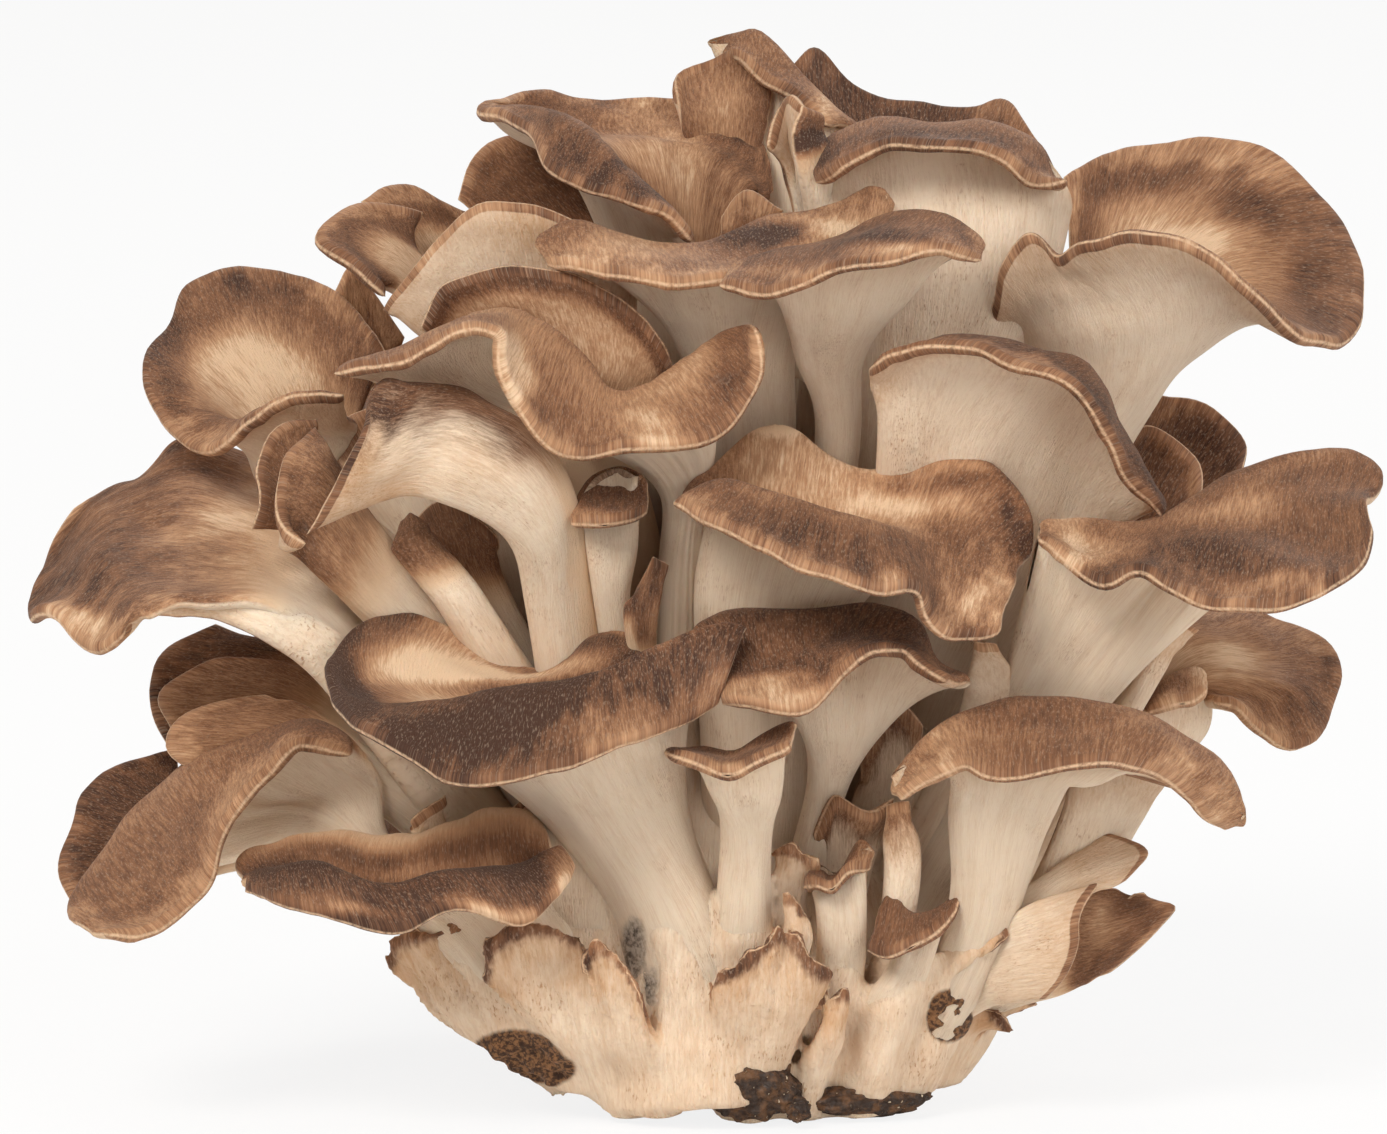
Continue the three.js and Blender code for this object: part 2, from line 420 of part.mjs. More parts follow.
  { node: "lobe_centre_left", stout: 8, rows: [
    [[-14, -30, 8], [-6, -30, 8]],
    [[-21, -37, 28], [-11, -38, 27]],
    [[-26, -34, 42], [-17, -34, 42], [-8, -34, 36]],
    [[-27, -34, 46], [-22, -34, 48.3], [-15, -33, 44], [-8, -33, 37]],
  ] },
  { node: "stub_left", stout: 6, rows: [
    [[-20, -20, 20], [-14, -20, 22]],
    [[-40, -31, 40], [-35, -30, 42]],
    [[-42.3, -33, 44], [-37, -32, 48.5]],
  ] },
  { node: "cup_small", stout: 7, rows: [
    [[16, -24, 6], [23, -22, 6]],
    [[18, -32, 36], [26, -30, 36]],
    [[17.8, -36, 42], [20.8, -37, 49], [25.5, -37, 46], [29.5, -35, 48.2]],
  ] },
  { node: "finger_right", stout: 6.5, rows: [
    [[22, -26, 6], [28, -24, 6]],
    [[27, -36, 26], [32, -35, 26]],
    [[28, -39, 38], [33.6, -38, 38]],
    [[28, -39, 46.3], [32, -39, 47]],
  ] },
  { node: "cap_tucked", stout: 7, rows: [
    [[16, -8, 18], [26, -6, 18]],
    [[23, -20, 46], [34, -18, 46]],
    [[23.5, -26, 54], [29, -27, 61.5], [35, -26, 58]],
  ] },
  { node: "curl_pale", stout: 6, rows: [
    [[24, -14, 28], [32, -12, 28]],
    [[38, -26, 56], [46, -24, 56]],
    [[40, -30, 66], [47, -28, 65]],
    [[41, -32, 71.5], [44.5, -31, 71]],
  ] },
  { node: "club_low", stout: 8, rows: [
    [[16, -30, 4], [22, -28, 4]],
    [[18, -38, 20], [25, -36, 20]],
    [[18, -42, 30], [25.5, -40, 30]],
    [[16, -40, 36], [18.5, -39, 38.5], [21, -38, 36.8], [24, -38, 41.5], [26.8, -40, 41]],
    [[15.8, -45, 35.3], [18, -48, 35.2], [20.6, -47, 34.2], [23, -46, 37.5], [26.7, -43, 38.8]],
  ] },
  { node: "saddle_low", stout: 8, rows: [
    [[20, -32, 4], [28, -30, 4]],
    [[25, -40, 17], [33, -38, 17]],
    [[29, -40, 24], [36, -38, 26]],
    [[28, -40, 33.3], [30.5, -39, 33], [32.5, -39, 30.6], [35.5, -38, 31.2], [39.5, -38, 35.6]],
    [[25, -46, 25], [28.5, -49, 24.2], [32, -48, 26], [35.5, -46, 28.2], [38.6, -43, 32]],
  ] },
  { node: "twin_upper_left", stout: 6, under: -1, rows: [
    [[-14, 2, 58], [-10, 6, 60]],
    [[-32, -4, 104], [-28, 0, 108]],
    [[-42, -10, 121], [-38, -6, 125]],
    [[-45, -14, 124.5], [-49, -12, 129], [-47, -8, 132.5], [-41, -6, 130]],
    [[-44.5, -17, 123], [-50, -17, 127], [-56, -14, 130.8], [-53, -10, 135], [-46, -7, 136.4],
      [-40, -6, 134.5]],
  ] },
  { node: "twin_upper_left", stout: 6, under: -1, rows: [
    [[-12, 4, 62], [-4, 6, 62]],
    [[-31, 0, 108], [-22, 2, 110]],
    [[-44, 0, 131], [-31, 2, 130]],
    [[-50, 0, 136.5], [-47, 2, 139], [-42.5, 3, 139.8], [-37.5, 3, 137.2], [-32, 3, 135]],
  ] },
  { node: "sheet_back_top", stout: 7, under: -1, rows: [
    [[8, 14, 48], [20, 16, 48]],
    [[14, 14, 100], [34, 14, 100]],
    [[14, 12, 135], [30, 11, 134], [48, 12, 134]],
    [[12, 16, 155], [19, 18, 160.5], [25, 20, 155], [33, 20, 153.3], [41, 20, 152.5], [47, 18, 153],
      [52, 14, 146]],
  ] },
  { node: "sheet_back_left", stout: 6, under: -1, rows: [
    [[-6, 12, 58], [2, 12, 58]],
    [[-14, 10, 110], [-2, 10, 110]],
    [[-26, 8, 130], [-10, 11, 132]],
    [[-35, 6, 137], [-33, 8, 143], [-28, 10, 147.2], [-22, 12, 148]],
  ] },
  { node: "fans_right_back", stout: 7, under: -1, rows: [
    [[30, 8, 40], [38, 10, 40]],
    [[52, 2, 76], [64, 5, 72]],
    [[66, -4, 101], [70, -3, 102.5], [76, -3, 97.8], [75, -2, 89]],
  ] },
  { node: "fans_right_back", stout: 7, under: -1, rows: [
    [[32, 10, 42], [40, 12, 42]],
    [[54, 8, 78], [66, 10, 76]],
    [[64, 4, 103], [67.5, 5, 110], [71, 6, 107.2], [78, 6, 106.3], [83.3, 6, 101], [81.5, 6, 95]],
  ] },
];

// The back and the flanks carry plainer fronds, one for each line: direction round the cluster from +X,
// height of the foot, reach, rim height, half width, droop of the rim, and the phase of its waves.
const backFronds = [
  ["back_top_right", 68, 50, 52, 140, 26, 6, 0.4],
  ["back_top_left", 112, 50, 56, 128, 27, -7, 2.1],
  ["back_high_right", 34, 46, 68, 112, 25, 10, 1.2],
  ["back_high_mid", 90, 44, 70, 108, 30, 12, 5.0],
  ["back_high_left", 150, 46, 66, 104, 25, -6, 3.3],
  ["back_mid_right", 58, 32, 78, 82, 30, -8, 4.1],
  ["back_mid_left", 122, 32, 78, 84, 30, 13, 0.9],
  ["back_side_left", 163, 30, 78, 70, 25, 10, 2.6],
  ["back_side_right", 20, 26, 76, 66, 25, 11, 5.6],
  ["back_low_right", 40, 14, 66, 42, 25, -5, 1.7],
  ["back_low_mid", 88, 16, 72, 54, 31, 12, 3.8],
  ["back_low_left", 137, 14, 68, 44, 27, 10, 4.6],
  ["back_top_right", 48, 50, 42, 124, 18, -5, 2.8],
  ["back_top_left", 138, 50, 44, 118, 18, 7, 0.2],
  ["back_high_right", 12, 44, 54, 98, 17, 7, 3.9],
  ["back_high_mid", 106, 42, 58, 92, 17, -6, 1.9],
  ["back_mid_right", 38, 30, 66, 70, 17, 9, 0.7],
  ["back_mid_left", 143, 30, 66, 68, 17, -5, 5.2],
  ["back_low_right", 62, 14, 58, 36, 17, 8, 3.0],
  ["back_low_left", 112, 14, 58, 36, 17, 8, 2.2],
  ["back_side_right", 4, 20, 58, 42, 15, 7, 1.1],
];

// Shape of every plain frond: distances in millimetres, or as shares of its reach, rise and size.
const plainFrond = {
  stout: 9,
  root: { distance: 6, halfWidth: 6 },
  stalk: { share: 0.4, halfWidth: 6.5 },
  neck: 0.55,
  turn: 2.1, // how far the rim wraps round towards the stalk, in radians each way
  throat: { points: 5, size: 0.35, rise: 0.82, wave: 0.4 },
  cap: { points: 7, size: 0.75, rise: 1, wave: 2 },
  rim: { points: 7, size: 1, rise: 1, wave: 3.2 },
  longWave: 3.1,
  shortWave: 7,
};

// Small lobes of the foot itself.
const footLobes = [
  { stout: 8, rows: [ // frill at the front
    [[5, -36, 3], [12, -36, 3]],
    [[4, -43, 12], [15, -43, 11]],
    [[3, -46, 19], [10, -47, 19], [18, -45, 17]],
    [[3, -48, 22], [6, -50, 24.5], [10, -51, 26.5], [12.5, -51, 29], [15, -50, 28.3], [18, -49, 24.8],
      [21.5, -47, 23.3]],
  ] },
  { stout: 6, rows: [ // finger beside the frill
    [[13, -35, 3], [18, -34, 2]],
    [[17, -43, 11], [21.5, -42, 10.5]],
    [[20.5, -46, 20.5], [24, -45, 20.5]],
  ] },
  { stout: 6, rows: [ // curls between the trunk and the low club
    [[9, -38, 12], [14, -38, 12]],
    [[12.5, -45, 27], [17.5, -44, 28]],
    [[13, -46, 34.5], [16.5, -46, 33]],
  ] },
  { stout: 6, rows: [
    [[11, -34, 16], [17, -33, 16]],
    [[11.5, -39, 34], [17, -38, 34]],
    [[11.5, -41, 40.5], [15, -42, 42.2], [19.3, -41, 38]],
  ] },
  { stout: 8, rows: [ // pale fan, far left
    [[-24, -30, 6], [-16, -34, 4]],
    [[-36, -33, 15.5], [-23, -38, 12]],
    [[-46, -35, 24], [-44, -37, 28], [-39, -39, 29.5], [-31, -40, 29]],
  ] },
  { stout: 8, rows: [ // pale fan, middle
    [[-14, -36, 3], [-6, -36, 3]],
    [[-24, -42, 15], [-10, -43, 13]],
    [[-31.3, -45, 22.5], [-30.5, -47, 27.5], [-25, -48, 30], [-16, -47, 28.5]],
  ] },
  { stout: 6, rows: [ // pale curl by the trunk
    [[-9, -38, 3], [-2, -38, 3]],
    [[-12, -45, 14], [-5, -46, 12]],
    [[-16.5, -48, 24.5], [-15, -49, 27.5], [-11, -49, 26], [-7, -49, 19]],
  ] },
  { stout: 7, under: -1, rows: [ // long curl, right
    [[26, -30, 4], [22, -28, 12]],
    [[36, -36, 16], [32, -36, 21]],
    [[41, -38, 22.5], [39, -38, 27]],
    [[46.5, -38, 25.3], [47.5, -37, 28], [44.5, -36, 30]],
  ] },
  { stout: 6, under: -1, rows: [ // loose ends at the right of the foot
    [[32, -24, 5], [30, -22, 14]],
    [[42, -26, 11], [40, -25, 17]],
    [[48, -27, 12.8], [45.5, -27, 17]],
  ] },
  { stout: 5, under: -1, rows: [
    [[36, -22, 8], [34, -20, 16]],
    [[45, -24, 14.5], [43, -23, 19]],
    [[52.3, -25, 16], [50, -24, 17.8]],
  ] },
];

// Radius of the foot's core over its height; the lowest part goes below ground and is cut off flat.
const coreProfile = [
  [0, -14], [22, -10], [28.5, 4], [33, 10], [36, 16], [38, 24], [32, 36], [23, 48], [16, 70], [9, 92],
  [0, 100],
];
const coreCentre = new THREE.Vector3(4, 0, 0);
const coreDepth = 0.95; // how deep the core is for its width

// Crumbs of the growing block that cling to the front of the foot: middle, half sizes, turn.
const crumbs = [
  ["crumb_front", [9.8, -41, 4.2], [6, 4.5, 4.8], 0.2],
  ["crumb_side", [25, -35.5, 3], [9.5, 4, 2.4], 0.25],
  ["crumb_small", [15.5, -43, 1.8], [2, 1.8, 1.8], 1.1],
];

const toVector = ([x, y, z]) => new THREE.Vector3(x, y, z);
const smoothCurve = (points) => new THREE.CatmullRomCurve3(points, false, "catmullrom", 0.5);

// A point on the middle surface of a lobe: u across it, v from its foot to its rim.
function middlePoint(rowCurves, u, v) {
  return smoothCurve(rowCurves.map((curve) => curve.getPoint(u))).getPoint(v);
}

function middleNormal(rowCurves, u, v) {
  const across = middlePoint(rowCurves, Math.min(u + slopeStep, 1), v);
  across.sub(middlePoint(rowCurves, Math.max(u - slopeStep, 0), v));
  const along = middlePoint(rowCurves, u, Math.min(v + slopeStep, 1));
  along.sub(middlePoint(rowCurves, u, Math.max(v - slopeStep, 0)));
  return across.cross(along).normalize();
}

// A lobe as a closed sheet, thick at the stalk and thin at the rim, grown by "swell" on every side.
function lobeSolid(lobe, swell = 0) {
  const rowCurves = lobe.rows.map((row) => smoothCurve(row.map(toVector)));
  const slices = Math.max(fewestSlices, 2 * (Math.max(...lobe.rows.map((row) => row.length)) - 1));
  const stacks = lobe.rows.length + 1;
  const geometry = new ParametricGeometry((around, along, target) => {
    const turn = around * Math.PI * 2;
    const across = -Math.cos(turn);
    const u = 0.5 + 0.5 * across;
    const v = 0.5 - 0.5 * Math.cos(along * Math.PI);
    const flatness = THREE.MathUtils.smoothstep(v, ...flattening);
    const thinned = THREE.MathUtils.smoothstep(v, ...thinning);
    const thickness = THREE.MathUtils.lerp(lobe.stout, rimThickness, thinned);
    const section = Math.sqrt(1 - Math.abs(across) ** (2 + squareness * flatness));
    const ends = along === 0 || along === 1 ? 0 : 1;
    const side = Math.sign(Math.sin(turn)) || 1;
    const normal = middleNormal(rowCurves, u, v);
    target.copy(middlePoint(rowCurves, u, v));
    if (swell) {
      const outward = target.clone().sub(middlePoint(rowCurves, 0.5, v)).normalize();
      target.addScaledVector(outward, swell * Math.abs(across) ** 4);
      const inside = middlePoint(rowCurves, u, v > 0.5 ? 1 - endStep : endStep);
      if (!ends) target.add(target.clone().sub(inside).setLength(swell * endSwell));
    }
    target.addScaledVector(normal, side * ends * section * (thickness / 2 + swell));
    target.addScaledVector(normal, (lobe.under ?? 1) * flatness * thickness / 2);
  }, slices, stacks);
  return toSolid(geometry);
}

function toSolid(geometry) {
  geometry.deleteAttribute("normal");
  geometry.deleteAttribute("uv");
  const merged = mergeVertices(geometry, weld);
  const index = merged.index.array;
  const faces = [];
  for (let i = 0; i < index.length; i += 3) {
    const [a, b, c] = [index[i], index[i + 1], index[i + 2]];
    if (a !== b && b !== c && c !== a) faces.push(a, b, c);
  }
  const mesh = new wasm.Mesh({
    numProp: 3,
    vertProperties: new Float32Array(merged.attributes.position.array),
    triVerts: new Uint32Array(faces),
  });
  const solid = new wasm.Manifold(mesh);
  if (solid.volume() > 0) return solid;
  return new wasm.Manifold(new wasm.Mesh({
    numProp: 3,
    vertProperties: mesh.vertProperties,
    triVerts: new Uint32Array(faces).reverse(),
  }));
}

// Rows of a plain frond: its stalk leaves the core in one direction and opens into a rounded, waved fan,
// which droops at its rim or, with a negative droop, turns up.
function backRows([, direction, footHeight, reach, rimHeight, halfWidth, droop, phase]) {
  const { root, stalk, throat, cap, rim, longWave, shortWave } = plainFrond;
  const angle = THREE.MathUtils.degToRad(direction);
  const out = new THREE.Vector3(Math.cos(angle), Math.sin(angle), 0);
  const across = new THREE.Vector3(0, 0, 1).cross(out);
  const rise = rimHeight - footHeight;
  const neck = reach * plainFrond.neck;
  const place = (distance, side, height) =>
    out.clone().multiplyScalar(distance).addScaledVector(across, side).setZ(height).toArray();
  const stalkRow = (distance, height, width) => [-width, width].map((side) => place(distance, side, height));
  const fanRow = ({ points, size, rise: share, wave }, drop) => Array.from({ length: points }, (_, k) => {
    const t = (2 * k) / (points - 1) - 1;
    const lift = wave * (Math.sin(longWave * t + phase) + 0.5 * Math.sin(shortWave * t + 2 * phase));
    const turn = plainFrond.turn * t;
    const distance = neck + size * (reach - neck) * Math.cos(turn);
    return place(distance, size * halfWidth * Math.sin(turn), footHeight + rise * share - drop + lift);
  });
  return [
    stalkRow(root.distance, footHeight, root.halfWidth),
    stalkRow(reach * stalk.share, footHeight + rise * stalk.share, stalk.halfWidth),
    fanRow(throat, 0),
    fanRow(cap, 0),
    fanRow(rim, droop),
  ];
}

// A solid that removes everything below the ground from a shape in the growth frame.
function groundSolid(cluster) {
  const ground = new THREE.BoxGeometry(500, 500, 200).translate(0, 0, -100);
  cluster.updateMatrixWorld();
  ground.applyMatrix4(cluster.matrixWorld.clone().invert());
  return toSolid(ground);
}

function coreSolid() {
  const profile = coreProfile.map(([radius, height]) => new THREE.Vector2(radius, height));
  const geometry = new THREE.LatheGeometry(profile, 24).rotateX(Math.PI / 2).scale(1, -coreDepth, 1);
  return toSolid(geometry.translate(coreCentre.x, coreCentre.y, coreCentre.z));
}

function crumbSolid([, middle, half, turn]) {
  const geometry = new THREE.IcosahedronGeometry(1, 1).scale(...half).rotateZ(turn).rotateY(0.15);
  return toSolid(geometry.translate(...middle));
}

const largestBody = (solid) => solid.decompose().sort((a, b) => b.volume() - a.volume())[0];

function meshFrom(name, solid, colour) {
  const { vertProperties, triVerts } = solid.getMesh();
  const geometry = new THREE.BufferGeometry();
  geometry.setAttribute("position", new THREE.BufferAttribute(vertProperties, 3));
  geometry.setIndex(new THREE.BufferAttribute(triVerts, 1));
  const material = new THREE.MeshStandardMaterial({ color: colour, roughness: fleshRoughness, metalness: 0 });
  const mesh = new THREE.Mesh(geometry, material);
  mesh.name = name;
  return mesh;
}

const cluster = new THREE.Group();
cluster.rotation.x = -leanAngle;
cluster.position.z = footFront * Math.sin(leanAngle);

const ground = groundSolid(cluster);
const plainLobe = (entry) => ({ node: entry[0], stout: plainFrond.stout, rows: backRows(entry) });
const allFronds = [...lobes, ...backFronds.map(plainLobe)];
const nodeNames = [...new Set(allFronds.map((lobe) => lobe.node))];
const solidOf = (list, swell) => wasm.Manifold.union(list.map((lobe) => lobeSolid(lobe, swell)));

const foot = wasm.Manifold.union([coreSolid(), ...footLobes.map((lobe) => lobeSolid(lobe))]).subtract(ground);
const placed = [{ solid: foot, swollen: foot.add(solidOf(footLobes, gap)) }];
cluster.add(meshFrom("foot", largestBody(foot), stalkCream));

// Cuts a solid back from the ground and from everything placed before it, and keeps its largest piece.
function trimmed(solid) {
  let rest = solid.subtract(wasm.Manifold.union([ground, ...placed.map((entry) => entry.swollen)]));
  for (const entry of placed) {
    if (rest.intersect(entry.solid).volume() > tinyOverlap) rest = rest.subtract(entry.solid);
  }
  return largestBody(rest);
}

for (const name of nodeNames) {
  const own = allFronds.filter((lobe) => lobe.node === name);
  const solid = trimmed(solidOf(own, 0));
  const isPale = name.includes("shell") || name.includes("fan");
  cluster.add(meshFrom(name, solid, isPale ? shellTan : capBrown));
  placed.push({ solid, swollen: solidOf(own, gap) });
}

for (const crumb of crumbs) {
  const solid = trimmed(crumbSolid(crumb));
  cluster.add(meshFrom(crumb[0], solid, blockBrown));
  placed.push({ solid, swollen: solid });
}

const maitake = new THREE.Group();
maitake.add(cluster);

export default maitake;
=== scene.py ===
# Maitake cluster: curled fronds on one cut foot, with crumbs of the block it grew on.
# Lobes are drawn in millimetres in the cluster's growth frame (X across, Y to the back, Z up), which leans
# back on the cut face, and are then placed in metres.
import math

import bmesh
import bpy
import numpy as np
from mathutils import Matrix, Vector
from mathutils.bvhtree import BVHTree
from mathutils.kdtree import KDTree


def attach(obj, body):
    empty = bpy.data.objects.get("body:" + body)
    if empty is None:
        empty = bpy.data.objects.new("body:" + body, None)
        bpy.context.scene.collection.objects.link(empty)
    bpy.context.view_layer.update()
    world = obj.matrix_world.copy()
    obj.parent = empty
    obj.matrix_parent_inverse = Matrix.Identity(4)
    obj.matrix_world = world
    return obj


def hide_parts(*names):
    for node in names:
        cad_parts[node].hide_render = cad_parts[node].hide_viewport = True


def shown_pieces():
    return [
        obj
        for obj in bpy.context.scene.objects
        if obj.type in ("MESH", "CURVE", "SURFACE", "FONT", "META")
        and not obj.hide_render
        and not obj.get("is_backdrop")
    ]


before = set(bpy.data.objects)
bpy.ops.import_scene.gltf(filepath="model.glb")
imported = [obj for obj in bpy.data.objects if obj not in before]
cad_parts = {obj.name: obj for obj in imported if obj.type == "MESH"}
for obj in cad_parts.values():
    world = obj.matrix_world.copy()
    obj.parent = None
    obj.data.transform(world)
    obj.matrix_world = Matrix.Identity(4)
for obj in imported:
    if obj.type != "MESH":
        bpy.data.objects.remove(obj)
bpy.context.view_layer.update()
print("frame loaded")

stance = {"lean": math.radians(8), "footFront": -35.0, "metre": 0.001}

growthToWorld = (
    Matrix.Scale(stance["metre"], 4)
    @ Matrix.Translation((0, 0, stance["footFront"] * math.sin(stance["lean"])))
    @ Matrix.Rotation(-stance["lean"], 4, "X")
)


def toWorld(points):
    turned = np.asarray(points) @ np.array(growthToWorld.to_3x3()).T
    return turned + np.array(growthToWorld.translation)


def toGrowth(points):
    turned = np.asarray(points) - np.array(growthToWorld.translation)
    return turned @ np.linalg.inv(np.array(growthToWorld.to_3x3())).T


# camera

cameraView = {
    "target": (0.075, 0.0, 81.75),
    "distance": 2400.0,
    "fieldWidth": 208.05,  # width of the view where the cluster stands
    "sensor": 36.0,
    "clipEnd": 20,  # in metres
}


def makeCamera():
    data = bpy.data.cameras.new("camera")
    data.sensor_width = cameraView["sensor"]
    data.lens = cameraView["sensor"] * cameraView["distance"] / cameraView["fieldWidth"]
    data.clip_end = cameraView["clipEnd"]
    camera = bpy.data.objects.new("camera", data)
    bpy.context.scene.collection.objects.link(camera)
    target = growthToWorld @ Vector(cameraView["target"])
    viewLine = (growthToWorld.to_3x3() @ Vector((0, 1, 0))).normalized()
    camera.location = target - viewLine * cameraView["distance"] * stance["metre"]
    camera.rotation_euler = viewLine.to_track_quat("-Z", "Y").to_euler()
    bpy.context.scene.camera = camera


makeCamera()

# lobes of the cluster, each a list of rows from its foot to its rim
# "stout" is the thickness at the stalk, "under" is -1 where the brown top faces the other way.

